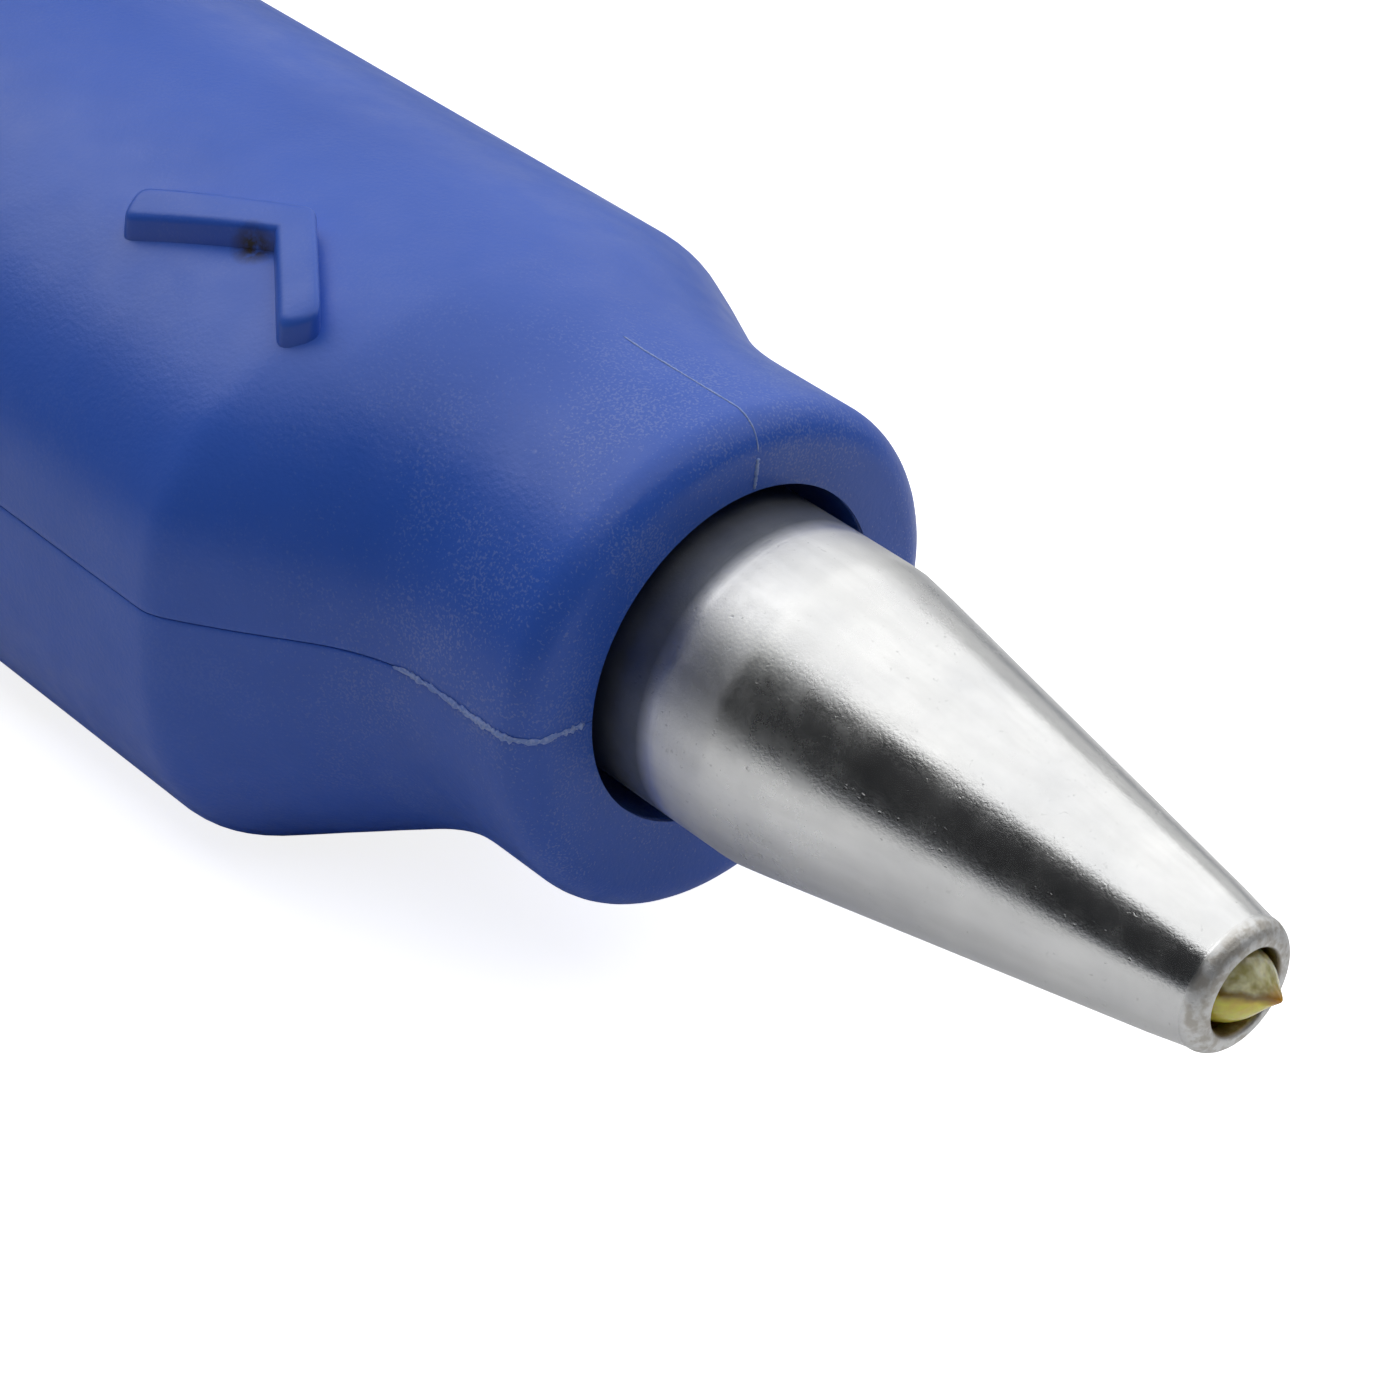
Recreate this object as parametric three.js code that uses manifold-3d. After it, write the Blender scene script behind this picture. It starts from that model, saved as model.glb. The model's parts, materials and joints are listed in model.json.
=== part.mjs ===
// Three-D pen: a hand-held extruder in a clamshell case, lying on its flat underside.
// Millimetres, +Z up, +X along the nozzle towards the tip. The drawing frame has its origin in
// the middle of the collar's front face; the last lines move the origin to the middle of the base.
import * as THREE from 'three';
import { mergeVertices } from 'three/addons/utils/BufferGeometryUtils.js';
import Module from 'manifold-3d';

// ---------------------------------------------------------------- driving dimensions
// Case outline, measured from the nozzle axis. Lengths along the pen are distances behind the collar.
const COLLAR_HALF_WIDTH = 9.15;
const COLLAR_TOP = 8.7;
const COLLAR_BOTTOM = 9.9;
const COLLAR_ROUND = 1.3;
const GRIP_HALF_WIDTH = 13.1;
const GRIP_TOP = 9.3;
const GRIP_BOTTOM = 13.7;
const REST_DEPTH = 13.2;
const SIDE_FLARE = [4.8, 14.7];
const TOP_FLARE = [4.8, 12.1];
const BOTTOM_FLARE = [3.6, 15.2];
const FILLET_SHARE = 0.474;
const CREST_SHARE = 0.105;
const BELLY_RISE = 2.75;
const BELLY_SWELL = 1.1;
const BELLY = [58, 86];
const TAIL_DROP = 2.0;
const TAIL_PINCH = 1.6;
const TAIL = [122, 152];
const CASE_LENGTH = 150;
const LOWER_SQUARENESS = 2.85;
const UPPER_SQUARENESS = 2.0;
const WALL = 2.0;
const PARTING_GAP = 0.1;
const PARTING_NOSE = -0.25;
const PARTING_BODY = -1.3;

// Fits
const SLIP = 0.1;
const GAP = 0.3;
const LOOSE = 0.2;

// Nose
const SHROUD_RADIUS = 5.53;
const SHROUD_BAND = 4.5;
const SHROUD_LENGTH = 22.1;
const SHROUD_TIP_RADIUS = 2.2;
const SHROUD_TIP_ROUND = 0.55;
const SHROUD_WALL = 0.95;
const SHROUD_HOLE = 1.48;
const SHROUD_LAND = 1.6;
const SHROUD_FLANGE = 1.4;
const FLANGE_THICK = 2.0;
const BORE_GAP = 0.62;
const BORE_DEPTH = 4.0;
const POCKET_DEPTH = 5.0;
const BULKHEAD = 2.0;
const RING_THICK = 2.4;

// Hot end
const FILAMENT = 1.75;
const NOZZLE_RADIUS = 2.4;
const NOZZLE_TIP_RADIUS = 0.9;
const NOZZLE_CONE_START = 11.5;
const NOZZLE_BACK = 1.5;
const ORIFICE = 0.35;
const BEAD_RADIUS = 1.3;
const BEAD_LENGTH = 3.0;
const BEAD_PROUD = 0.85;
const BEAD_SEAT = 0.05;
const BEAD_POINT = [0.18, 0.16];
const BEAD_WAIST = [0.35, 0.86];
const HEATER_WALL = 1.0;
const HEATER_LENGTH = 7.0;
const BREAK_RADIUS = 1.6;
const BREAK_BEHIND = 16;
const BREAK_GAP = 0.3;
const HEATER_BACK = 0.5;
const THERMISTOR = 0.55;
const THERMISTOR_LENGTH = 1.6;
const THERMISTOR_BACK = 2.2;
const ORIFICE_LENGTH = 2.4;
const ORIFICE_TAPER = 0.8;

// Filament path and drive
const TUBE_RADIUS = 1.5;
const TUBE_BORE = 1.05;
const DRIVE_X = -77;
const DRIVE_RADIUS = 4.5;
const DRIVE_WIDTH = 4.4;
const DRIVE_TEETH = 24;
const TOOTH_DEPTH = 0.4;
const TOOTH_SHARES = [[-0.2, 0], [0.2, 0], [0.36, 1], [0.64, 1]];
const SHAFT_RADIUS = 1.5;
const SHAFT_STUB = 1.6;
const BEARING = [6, 2.5, 3];
const BEARING_GAP = 0.1;
const IDLER_RADIUS = 3.0;
const IDLER_WIDTH = 2.5;
const IDLER_BORE = 1.2;
const NIP_GAP = 0.05;
const ARM_PIVOT_BACK = 9.5;
const ARM_PIVOT_RISE = 1.2;
const ARM_HALF_HEIGHT = 2.0;
const ARM_THICK = 1.8;
const ARM_NOSE = 6.0;
const SPRING_RADIUS = 1.5;
const SPRING_WIRE = 0.25;
const SPRING_TURNS = 4;
const SPRING_SEAT = [4.8, 1.2];
const SEAT_REACH = 2.4;
const BRACKET = [5, 1.6, 2.6];
const TUBE_CLEAR = 5.5;
const TUBE_END = 1.3;
const GEARBOX = [17, 8.0];
const GEARBOX_AHEAD = 5;
const MOTOR_RADIUS = 4.9;
const MOTOR_LENGTH = 26;
const MOTOR_Z = -5.5;

// Controls
const BOARD_THICK = 1.0;
const BOARD_HALF_WIDTH = 7.5;
const BOARD_LIFT = 0.5;
const BOARD_REST = 0.05;
const FRONT_BOARD = [-68.5, -38];
const REAR_BOARD = [-137, -91];
const REAR_BOARD_LIFT = 1.0;
const SWITCH_SIDE = 5.0;
const SWITCH_HEIGHT = 1.8;
const PLUNGER_RADIUS = 1.3;
const PLUNGER_HEIGHT = 0.4;
const BUTTON_TRAVEL = 0.8;
const BUTTON_PROUD = 0.9;
const BUTTON_LIP = 0.7;
const LIP_THICK = 0.8;
const FEED_BUTTON = { x: -48, length: 14, width: 8 };
const REVERSE_BUTTON = { x: -63, length: 8, width: 8 };
const SLIDER_X = -102;
const SLIDER_TRAVEL = 4;
const SLIDER_PAD = [7, 5, 1.5];
const SLIDER_STEM = [3, 1.8];
const STEM_LAP = 0.5;
const TRACK_SINK = 0.7;
const POT = [20, 7, 3.8];
const LAMP_X = -117;
const LAMP_RADIUS = 1.5;
const LAMP_HEIGHT = 3.0;
const LAMP_LIP = 0.8;
const LAMP_LIP_THICK = 1.0;
const SOLDER = 0.02;

// Rear
const CAP_THICK = 4.0;
const CAP_ROUND = 2.2;
const SPIGOT_LENGTH = 3.0;
const SPIGOT_WALL = 1.4;
const SPIGOT_LAP = 0.6;
const JACK = [11, 9, 7.6];
const JACK_CLEAR = 0.5;
const JACK_BARREL = 2.9;
const JACK_PIN = 1.0;
const JACK_DEPTH = 9;
const JACK_PIN_BACK = 1.0;
const INLET_RADIUS = 2.2;
const INLET_FLANGE = 3.2;
const INLET_PROUD = 1.0;
const INLET_ROUND = 0.4;
const INLET_MOUTH = 0.9;

// Fastening
const SCREW_RADIUS = 1.0;
const SCREW_HEAD = 1.9;
const SCREW_HEAD_THICK = 1.5;
const SCREW_BITE = 6.0;
const SCREW_SEAT = -6.5;
const BOSS_RADIUS = 2.7;
const SCREW_Y = 7.9;
const SCREW_XS = [-27, -133];
const SCREW_TIP = 4.0;
const CROSS = [2.2, 0.44, 0.7];
const POST_RADIUS = 1.4;
const POST_Y = 6.0;
const POST_INSET = 3.0;
const REAR_POSTS = [[-120, 6], [-120, -6], [-109, -6]];
const RIB_THICK = 1.5;
const GRIP_RIBS = [-20, -56];
const MOTOR_RIB_INSET = 5.0;

// Raised chevron on the top of the case
const CHEVRON_APEX = [-17.7, -4.72];
const CHEVRON_LONG = { angle: 206.5, length: 6.8 };
const CHEVRON_SHORT = { angle: 324, length: 5.7 };
const CHEVRON_WIDTH = 1.36;
const CHEVRON_PROUD = 0.9;
const CHEVRON_BAR = 8;

// Vents beside the motor
const VENT_COUNT = 5;
const VENT_PITCH = 3.6;
const VENT_SIZE = [1.4, 5.0];
const VENT_Z = -5.5;
const VENT_X = -94;
const VENT_REACH = 3.5;

// Facets
const AROUND = 40;
const INSIDE_AROUND = 24;
const ROUND = 28;
const SMALL_ROUND = 24;
const POST_ROUND = 20;
const SCREW_ROUND = 16;
const BUSH_ROUND = 32;
const END_STEPS = 10;
const ARM_END_STEPS = 8;
const SKIN_STEPS = 24;
const PARTING_STEPS = 8;
const WIRE_STEPS = 14;
const WIRE_SIDES = 3;

// Cuts run this far past the face that they open, and those in the upper shell start at this height.
const PAST = 1;
const CUT_START = 0.5;

// ---------------------------------------------------------------- solids and cuts
const wasm = await Module();
wasm.setup();

// A closed geometry as a solid. A profile may be listed in either direction, so faces are turned out.
function solid(geometry) {
  const bare = geometry.clone();
  bare.deleteAttribute('normal');
  bare.deleteAttribute('uv');
  const merged = mergeVertices(bare, 1e-4);
  const vertProperties = new Float32Array(merged.attributes.position.array);
  const triVerts = new Uint32Array(merged.index.array);
  const shape = new wasm.Manifold(new wasm.Mesh({ numProp: 3, vertProperties, triVerts }));
  if (shape.volume() > 0) return shape;
  triVerts.reverse();
  return new wasm.Manifold(new wasm.Mesh({ numProp: 3, vertProperties, triVerts }));
}

function geometryOf(manifold) {
  const mesh = manifold.getMesh();
  const geometry = new THREE.BufferGeometry();
  geometry.setAttribute('position', new THREE.BufferAttribute(mesh.vertProperties, 3));
  geometry.setIndex(new THREE.BufferAttribute(mesh.triVerts, 1));
  geometry.computeVertexNormals();
  return geometry;
}

function box(xs, ys, zs) {
  const geometry = new THREE.BoxGeometry(xs[1] - xs[0], ys[1] - ys[0], zs[1] - zs[0]);
  geometry.translate((xs[0] + xs[1]) / 2, (ys[0] + ys[1]) / 2, (zs[0] + zs[1]) / 2);
  return solid(geometry);
}

// A turned piece about the pen's axis, from [distance along X, radius] points in order.
function turned(points, facets = ROUND) {
  const profile = points.map(([x, radius]) => new THREE.Vector2(radius, x));
  const geometry = new THREE.LatheGeometry([...profile, profile[0]], facets);
  geometry.rotateZ(-Math.PI / 2);
  return solid(geometry);
}

function rod(axis, radius, from, to, [a, b], facets = ROUND) {
  const geometry = new THREE.CylinderGeometry(radius, radius, to - from, facets);
  const middle = (from + to) / 2;
  if (axis === 'x') geometry.rotateZ(-Math.PI / 2).translate(middle, a, b);
  if (axis === 'y') geometry.translate(a, middle, b);
  if (axis === 'z') geometry.rotateX(Math.PI / 2).translate(a, b, middle);
  return solid(geometry);
}

// A stadium seen from above, from one height to another.
function stadium(x, y, length, width, bottom, top) {
  const radius = width / 2;
  const half = length / 2 - radius;
  const outline = new THREE.Shape();
  outline.absarc(half, 0, radius, -Math.PI / 2, Math.PI / 2);
  outline.absarc(-half, 0, radius, Math.PI / 2, 3 * Math.PI / 2);
  const geometry = new THREE.ExtrudeGeometry(outline, {
    depth: top - bottom, bevelEnabled: false, curveSegments: END_STEPS,
  });
  geometry.translate(x, y, bottom);
  return solid(geometry);
}

// ---------------------------------------------------------------- the case's outline
function ease(value, [start, end]) {
  const t = THREE.MathUtils.clamp((value - start) / (end - start), 0, 1);
  return t * t * (3 - 2 * t);
}

// A shoulder's run: a long hollow fillet, a straight slope and a short rounded crest.
function flare(value, [start, end]) {
  const t = THREE.MathUtils.clamp((value - start) / (end - start), 0, 1);
  const slope = 1 / (1 - FILLET_SHARE / 2 - CREST_SHARE / 2);
  if (t < FILLET_SHARE) return slope * t * t / (2 * FILLET_SHARE);
  if (t > 1 - CREST_SHARE) return 1 - slope * (1 - t) ** 2 / (2 * CREST_SHARE);
  return slope * (t - FILLET_SHARE / 2);
}

// Half width, height above and depth below the nozzle axis, at a distance behind the collar's face.
function outlineAt(behind) {
  const belly = ease(behind, BELLY);
  const tail = ease(behind, TAIL);
  const edge = Math.max(0, COLLAR_ROUND - behind);
  const round = COLLAR_ROUND - Math.sqrt(COLLAR_ROUND ** 2 - edge ** 2);
  return {
    half: COLLAR_HALF_WIDTH + (GRIP_HALF_WIDTH - COLLAR_HALF_WIDTH) * flare(behind, SIDE_FLARE)
      + BELLY_SWELL * belly - TAIL_PINCH * tail - round,
    top: COLLAR_TOP + (GRIP_TOP - COLLAR_TOP) * flare(behind, TOP_FLARE)
      + BELLY_RISE * belly - TAIL_DROP * tail - round,
    bottom: COLLAR_BOTTOM + (GRIP_BOTTOM - COLLAR_BOTTOM) * flare(behind, BOTTOM_FLARE) - round,
    squareness: 2 + (LOWER_SQUARENESS - 2) * flare(behind, BOTTOM_FLARE),
  };
}

// Radius of the case at an angle from straight up, grown (or shrunk) by an offset.
function caseRadius(behind, angle, offset = 0) {
  const outline = outlineAt(behind);
  const up = Math.cos(angle);
  const half = outline.half + offset;
  const height = (up > 0 ? outline.top : outline.bottom) + offset;
  const power = up > 0 ? UPPER_SQUARENESS : outline.squareness;
  const across = (Math.abs(Math.sin(angle)) / half) ** power;
  const radius = (across + (Math.abs(up) / height) ** power) ** (-1 / power);
  if (up >= 0) return radius;
  return Math.min(radius, (REST_DEPTH + offset) / -up);
}

// A unit cylinder laid along the pen and shaped to the case's outline at each station.
function caseSolid(stations, offset, around = AROUND) {
  const rows = stations.length - 1;
  const geometry = new THREE.CylinderGeometry(1, 1, 1, around, rows);
  const place = geometry.attributes.position;
  for (let i = 0; i < place.count; i += 1) {
    const behind = stations[Math.round((0.5 - place.getY(i)) * rows)];
    const angle = Math.atan2(place.getX(i), place.getZ(i));
    const spoke = Math.hypot(place.getX(i), place.getZ(i));
    const radius = spoke < 0.5 ? 0 : caseRadius(behind, angle, offset);
    place.setXYZ(i, -behind, -radius * Math.sin(angle), radius * Math.cos(angle));
  }
  return solid(geometry);
}

function steps(from, to, count) {
  return Array.from({ length: count }, (_, i) => from + (to - from) * (i + 1) / count);
}

function topAt(x, y = 0) {
  const outline = outlineAt(-x);
  return outline.top * (1 - (Math.abs(y) / outline.half) ** UPPER_SQUARENESS) ** (1 / UPPER_SQUARENESS);
}

// How far out from the middle the cavity reaches, at a height and a distance behind the collar.
function cavityHalfAt(behind, z) {
  const outline = outlineAt(behind);
  const height = (z > 0 ? outline.top : outline.bottom) - WALL;
  const power = z > 0 ? UPPER_SQUARENESS : outline.squareness;
  const filled = Math.min(1, (Math.abs(z) / height) ** power);
  return (outline.half - WALL) * (1 - filled) ** (1 / power);
}

// How deep the cavity is, out from the middle by y.
function cavityFloorAt(behind, y) {
  const outline = outlineAt(behind);
  const filled = (Math.abs(y) / (outline.half - WALL)) ** outline.squareness;
  const depth = (outline.bottom - WALL) * (1 - filled) ** (1 / outline.squareness);
  return -Math.min(depth, REST_DEPTH - WALL);
}

const roundSteps = [0, 1, 2, 3].map((i) => COLLAR_ROUND * (1 - Math.cos(i * Math.PI / 8)));
const caseStations = [
  ...roundSteps, COLLAR_ROUND, BOTTOM_FLARE[0],
  ...steps(BOTTOM_FLARE[0], BOTTOM_FLARE[1], 10), BELLY[0],
  ...steps(BELLY[0], BELLY[1], 5), TAIL[0], ...steps(TAIL[0], CASE_LENGTH, 4),
];
const cavityFront = BORE_DEPTH + POCKET_DEPTH + BULKHEAD;
const cavityStations = [
  cavityFront, ...steps(cavityFront, BOTTOM_FLARE[1], 3), BELLY[0],
  ...steps(BELLY[0], BELLY[1], 4), TAIL[0], ...steps(TAIL[0], CASE_LENGTH + PAST, 3),
];
const outer = caseSolid(caseStations, 0);
const cavity = caseSolid(cavityStations, -WALL, INSIDE_AROUND);

// ---------------------------------------------------------------- nose bore shared by both shells
const boreRadius = SHROUD_RADIUS + BORE_GAP;
const flangeRadius = SHROUD_RADIUS + SHROUD_FLANGE;
const pocketRadius = flangeRadius + LOOSE;
const pocketBack = -(BORE_DEPTH + POCKET_DEPTH);
const flangeFront = -BORE_DEPTH - LOOSE;
const ringFront = flangeFront - FLANGE_THICK - LOOSE;
const noseBore = turned([
  [PAST, 0], [PAST, boreRadius], [-BORE_DEPTH, boreRadius], [-BORE_DEPTH, pocketRadius],
  [pocketBack, pocketRadius], [pocketBack, BREAK_RADIUS + GAP],
  [-cavityFront - PAST, BREAK_RADIUS + GAP], [-cavityFront - PAST, 0],
], AROUND);
const hollow = outer.subtract(cavity).subtract(noseBore);

// The parting line runs level along the body, and climbs to the nozzle axis over the shoulder.
const FAR = 60;
function partingAt(x) {
  return PARTING_NOSE + (PARTING_BODY - PARTING_NOSE) * ease(-x, BOTTOM_FLARE);
}

function sideOfParting(side) {
  const back = -CASE_LENGTH - PAST;
  const outline = new THREE.Shape();
  outline.moveTo(PAST, side * FAR);
  outline.lineTo(back, side * FAR);
  outline.lineTo(back, partingAt(back) + side * PARTING_GAP / 2);
  const climb = steps(BOTTOM_FLARE[0], BOTTOM_FLARE[1], PARTING_STEPS).reverse();
  for (const behind of [...climb, BOTTOM_FLARE[0], -PAST]) {
    outline.lineTo(-behind, partingAt(-behind) + side * PARTING_GAP / 2);
  }
  outline.closePath();
  const geometry = new THREE.ExtrudeGeometry(outline, { depth: 2 * FAR, bevelEnabled: false });
  geometry.rotateX(Math.PI / 2);
  geometry.translate(0, FAR, 0);
  return solid(geometry);
}

const upperHalf = sideOfParting(1);
const lowerHalf = sideOfParting(-1);
const partingTop = PARTING_BODY + PARTING_GAP / 2;
const partingUnder = PARTING_BODY - PARTING_GAP / 2;

// ---------------------------------------------------------------- boards and their stack
const boardBottom = TUBE_RADIUS + BOARD_LIFT;
const boardTop = boardBottom + BOARD_THICK;
const plungerTop = boardTop + SWITCH_HEIGHT + PLUNGER_HEIGHT;
const lipBottom = plungerTop + BUTTON_TRAVEL + SLIP;
const lipTop = lipBottom + LIP_THICK;
const rearBoardBottom = boardBottom + REAR_BOARD_LIFT;
const rearBoardTop = rearBoardBottom + BOARD_THICK;
const potTop = rearBoardTop + POT[2];
const trackFloor = topAt(SLIDER_X) - TRACK_SINK;
const padBottom = trackFloor + SLIP;

// ---------------------------------------------------------------- fasteners and posts
const screwPlaces = SCREW_XS.flatMap((x) => [[x, SCREW_Y], [x, -SCREW_Y]]);
const frontPosts = [FRONT_BOARD[1] - POST_INSET, FRONT_BOARD[0] + POST_INSET]
  .flatMap((x) => [[x, POST_Y], [x, -POST_Y]]);

function column(x, y, radius, bottom, top) {
  return rod('z', radius, bottom, top, [x, y], POST_ROUND).intersect(outer);
}

// ---------------------------------------------------------------- upper shell
function buttonHole(button, grow, bottom, top) {
  return stadium(button.x, 0, button.length + 2 * grow, button.width + 2 * grow, bottom, top);
}

function chevron() {
  const arm = ({ angle, length }) => {
    const bar = new THREE.BoxGeometry(length, CHEVRON_WIDTH, CHEVRON_BAR);
    bar.translate(length / 2 - CHEVRON_WIDTH / 2, 0, GRIP_TOP);
    bar.rotateZ(THREE.MathUtils.degToRad(angle));
    bar.translate(CHEVRON_APEX[0], CHEVRON_APEX[1], 0);
    return solid(bar);
  };
  const raised = caseSolid(steps(BOTTOM_FLARE[0], BELLY[0] / 2, SKIN_STEPS), CHEVRON_PROUD);
  return arm(CHEVRON_LONG).add(arm(CHEVRON_SHORT)).intersect(raised);
}

const trackLength = SLIDER_PAD[0] + 2 * SLIDER_TRAVEL + 2 * GAP;
const slotLength = SLIDER_STEM[0] + 2 * SLIDER_TRAVEL + 2 * GAP;
let upperShell = hollow.intersect(upperHalf).add(chevron());
for (const [x, y] of screwPlaces) {
  upperShell = upperShell.add(column(x, y, BOSS_RADIUS, partingTop, FAR / 2));
  const pilotTop = SCREW_SEAT + SCREW_HEAD_THICK + SCREW_BITE + SCREW_TIP;
  const pilot = rod('z', SCREW_RADIUS + SLIP, partingTop - PAST, pilotTop, [x, y], SCREW_ROUND);
  upperShell = upperShell.subtract(pilot);
}
for (const button of [FEED_BUTTON, REVERSE_BUTTON]) {
  upperShell = upperShell.subtract(buttonHole(button, LOOSE, lipBottom, FAR / 2));
  upperShell = upperShell.subtract(buttonHole(button, BUTTON_LIP + LOOSE, CUT_START, lipTop + SLIP));
}
upperShell = upperShell
  .subtract(box(
    [SLIDER_X - trackLength / 2, SLIDER_X + trackLength / 2],
    [-SLIDER_PAD[1] / 2 - GAP, SLIDER_PAD[1] / 2 + GAP],
    [trackFloor, FAR / 2],
  ))
  .subtract(stadium(SLIDER_X, 0, slotLength, SLIDER_STEM[1] + 2 * GAP, CUT_START, FAR / 2))
  .subtract(rod('z', LAMP_RADIUS + SLIP, CUT_START, FAR / 2, [LAMP_X, 0], SMALL_ROUND));

// ---------------------------------------------------------------- drive layout
// The gearbox reaches out to the case's wall, and the motor lies as far out as its round can lies clear.
const driveZ = -(FILAMENT / 2 + DRIVE_RADIUS + NIP_GAP);
const gearboxFront = DRIVE_X + GEARBOX_AHEAD;
const gearboxBack = gearboxFront - GEARBOX[0];
const gearboxHeights = [driveZ - GEARBOX[1] / 2, driveZ + GEARBOX[1] / 2];
const gearboxInside = DRIVE_WIDTH / 2 + GAP * 2;
const gearboxOutside = cavityHalfAt(-gearboxFront, gearboxHeights[0]) - GAP;
const motorBack = gearboxBack - MOTOR_LENGTH;
const motorReaches = steps(-Math.PI / 2, Math.PI / 2, SKIN_STEPS).map((turn) => {
  const radius = MOTOR_RADIUS + GAP;
  const wall = cavityHalfAt(-gearboxBack, MOTOR_Z + radius * Math.sin(turn));
  return wall - radius * Math.cos(turn);
});
const motorY = Math.min(...motorReaches);

// ---------------------------------------------------------------- lower shell
const motorClear = rod('x', MOTOR_RADIUS + LOOSE, -FAR * 3, 0, [motorY, MOTOR_Z]);
const tubeClear = rod('x', TUBE_RADIUS + LOOSE, -FAR * 3, 0, [0, 0], POST_ROUND);

function rib(x, cuts) {
  const slab = box([x - RIB_THICK / 2, x + RIB_THICK / 2], [-FAR, FAR], [-FAR, partingUnder]);
  return cuts.reduce((shape, cut) => shape.subtract(cut), slab.intersect(outer));
}

let lowerShell = hollow.intersect(lowerHalf);
for (const x of GRIP_RIBS) lowerShell = lowerShell.add(rib(x, [tubeClear]));
for (const x of [gearboxBack - MOTOR_RIB_INSET, motorBack + MOTOR_RIB_INSET]) {
  lowerShell = lowerShell.add(rib(x, [tubeClear, motorClear]));
}
const blockInside = -DRIVE_WIDTH / 2 - SHAFT_STUB - BEARING_GAP;
const shaftEnd = blockInside - BEARING[1] / 2;
const bearingBlock = box(
  [DRIVE_X - BEARING[0] / 2, DRIVE_X + BEARING[0] / 2],
  [blockInside - BEARING[1], blockInside],
  [-FAR, driveZ + BEARING[2]],
);
const gearRelief = [-DRIVE_WIDTH / 2 - GAP, DRIVE_WIDTH / 2 + GAP];
lowerShell = lowerShell
  .add(bearingBlock.intersect(outer))
  .subtract(rod('y', SHAFT_RADIUS + SLIP, shaftEnd - GAP, 0, [DRIVE_X, driveZ]))
  .subtract(rod('y', DRIVE_RADIUS + LOOSE, gearRelief[0], gearRelief[1], [DRIVE_X, driveZ]));
for (const [x, y] of screwPlaces) {
  lowerShell = lowerShell.add(column(x, y, BOSS_RADIUS, -FAR / 2, partingUnder));
  lowerShell = lowerShell
    .subtract(rod('z', SCREW_RADIUS + LOOSE, -FAR / 2, PAST, [x, y], SCREW_ROUND))
    .subtract(rod('z', SCREW_HEAD + LOOSE, -FAR / 2, SCREW_SEAT, [x, y], SMALL_ROUND));
}
for (const [x, y] of frontPosts) {
  lowerShell = lowerShell.add(column(x, y, POST_RADIUS, -FAR / 2, boardBottom - BOARD_REST));
}
for (const [x, y] of REAR_POSTS) {
  lowerShell = lowerShell.add(column(x, y, POST_RADIUS, -FAR / 2, rearBoardBottom - BOARD_REST));
}
for (const side of [-1, 1]) {
  for (let i = 0; i < VENT_COUNT; i += 1) {
    const x = VENT_X - i * VENT_PITCH;
    const reach = [GRIP_HALF_WIDTH - VENT_REACH, FAR / 2];
    const across = side > 0 ? reach : [-reach[1], -reach[0]];
    const heights = [VENT_Z - VENT_SIZE[1] / 2, VENT_Z + VENT_SIZE[1] / 2];
    const vent = box([x - VENT_SIZE[0] / 2, x + VENT_SIZE[0] / 2], across, heights);
    lowerShell = lowerShell.subtract(vent);
  }
}

// ---------------------------------------------------------------- rear cap
const capStations = [0, 1, 2, 3, 4].map((i) => {
  const turn = i * Math.PI / 8;
  return {
    behind: CAP_THICK - CAP_ROUND + CAP_ROUND * Math.sin(turn),
    shrink: CAP_ROUND * (1 - Math.cos(turn)),
  };
});

function capSolid() {
  const rings = [{ behind: 0, shrink: 0 }, ...capStations];
  const rows = rings.length - 1;
  const geometry = new THREE.CylinderGeometry(1, 1, 1, AROUND, rows);
  const place = geometry.attributes.position;
  for (let i = 0; i < place.count; i += 1) {
    const ring = rings[Math.round((0.5 - place.getY(i)) * rows)];
    const angle = Math.atan2(place.getX(i), place.getZ(i));
    const spoke = Math.hypot(place.getX(i), place.getZ(i));
    const radius = spoke < 0.5 ? 0 : caseRadius(CASE_LENGTH, angle, -ring.shrink);
    const x = -(CASE_LENGTH + SLIP + ring.behind);
    place.setXYZ(i, x, -radius * Math.sin(angle), radius * Math.cos(angle));
  }
  return solid(geometry);
}

const capFront = -CASE_LENGTH - SLIP;
const capBack = capFront - CAP_THICK;
const spigotSpan = [CASE_LENGTH - SPIGOT_LENGTH, CASE_LENGTH + SPIGOT_LAP];
const spigotHollow = [spigotSpan[0] - PAST, CASE_LENGTH + SLIP];
const spigot = caseSolid(spigotSpan, -WALL - LOOSE, INSIDE_AROUND)
  .subtract(caseSolid(spigotHollow, -WALL - LOOSE - SPIGOT_WALL, INSIDE_AROUND));
const jackSpan = [capFront + GAP, capFront + GAP + JACK[0]];
const jackFoot = cavityFloorAt(-jackSpan[0], JACK[1] / 2) + JACK_CLEAR;
const jackHeights = [jackFoot, jackFoot + JACK[2]];
const jackZ = jackFoot + JACK[2] / 2;
const rearCap = capSolid()
  .add(spigot)
  .subtract(rod('x', JACK_BARREL + GAP, capBack - PAST, capFront + PAST, [0, jackZ]))
  .subtract(rod('x', INLET_RADIUS + SLIP, capBack - PAST, capFront + PAST, [0, 0]))
  .subtract(box(
    [capFront, jackSpan[1]],
    [-JACK[1] / 2 - LOOSE, JACK[1] / 2 + LOOSE],
    [jackHeights[0] - LOOSE - PAST, jackHeights[1] + LOOSE],
  ));

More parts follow.
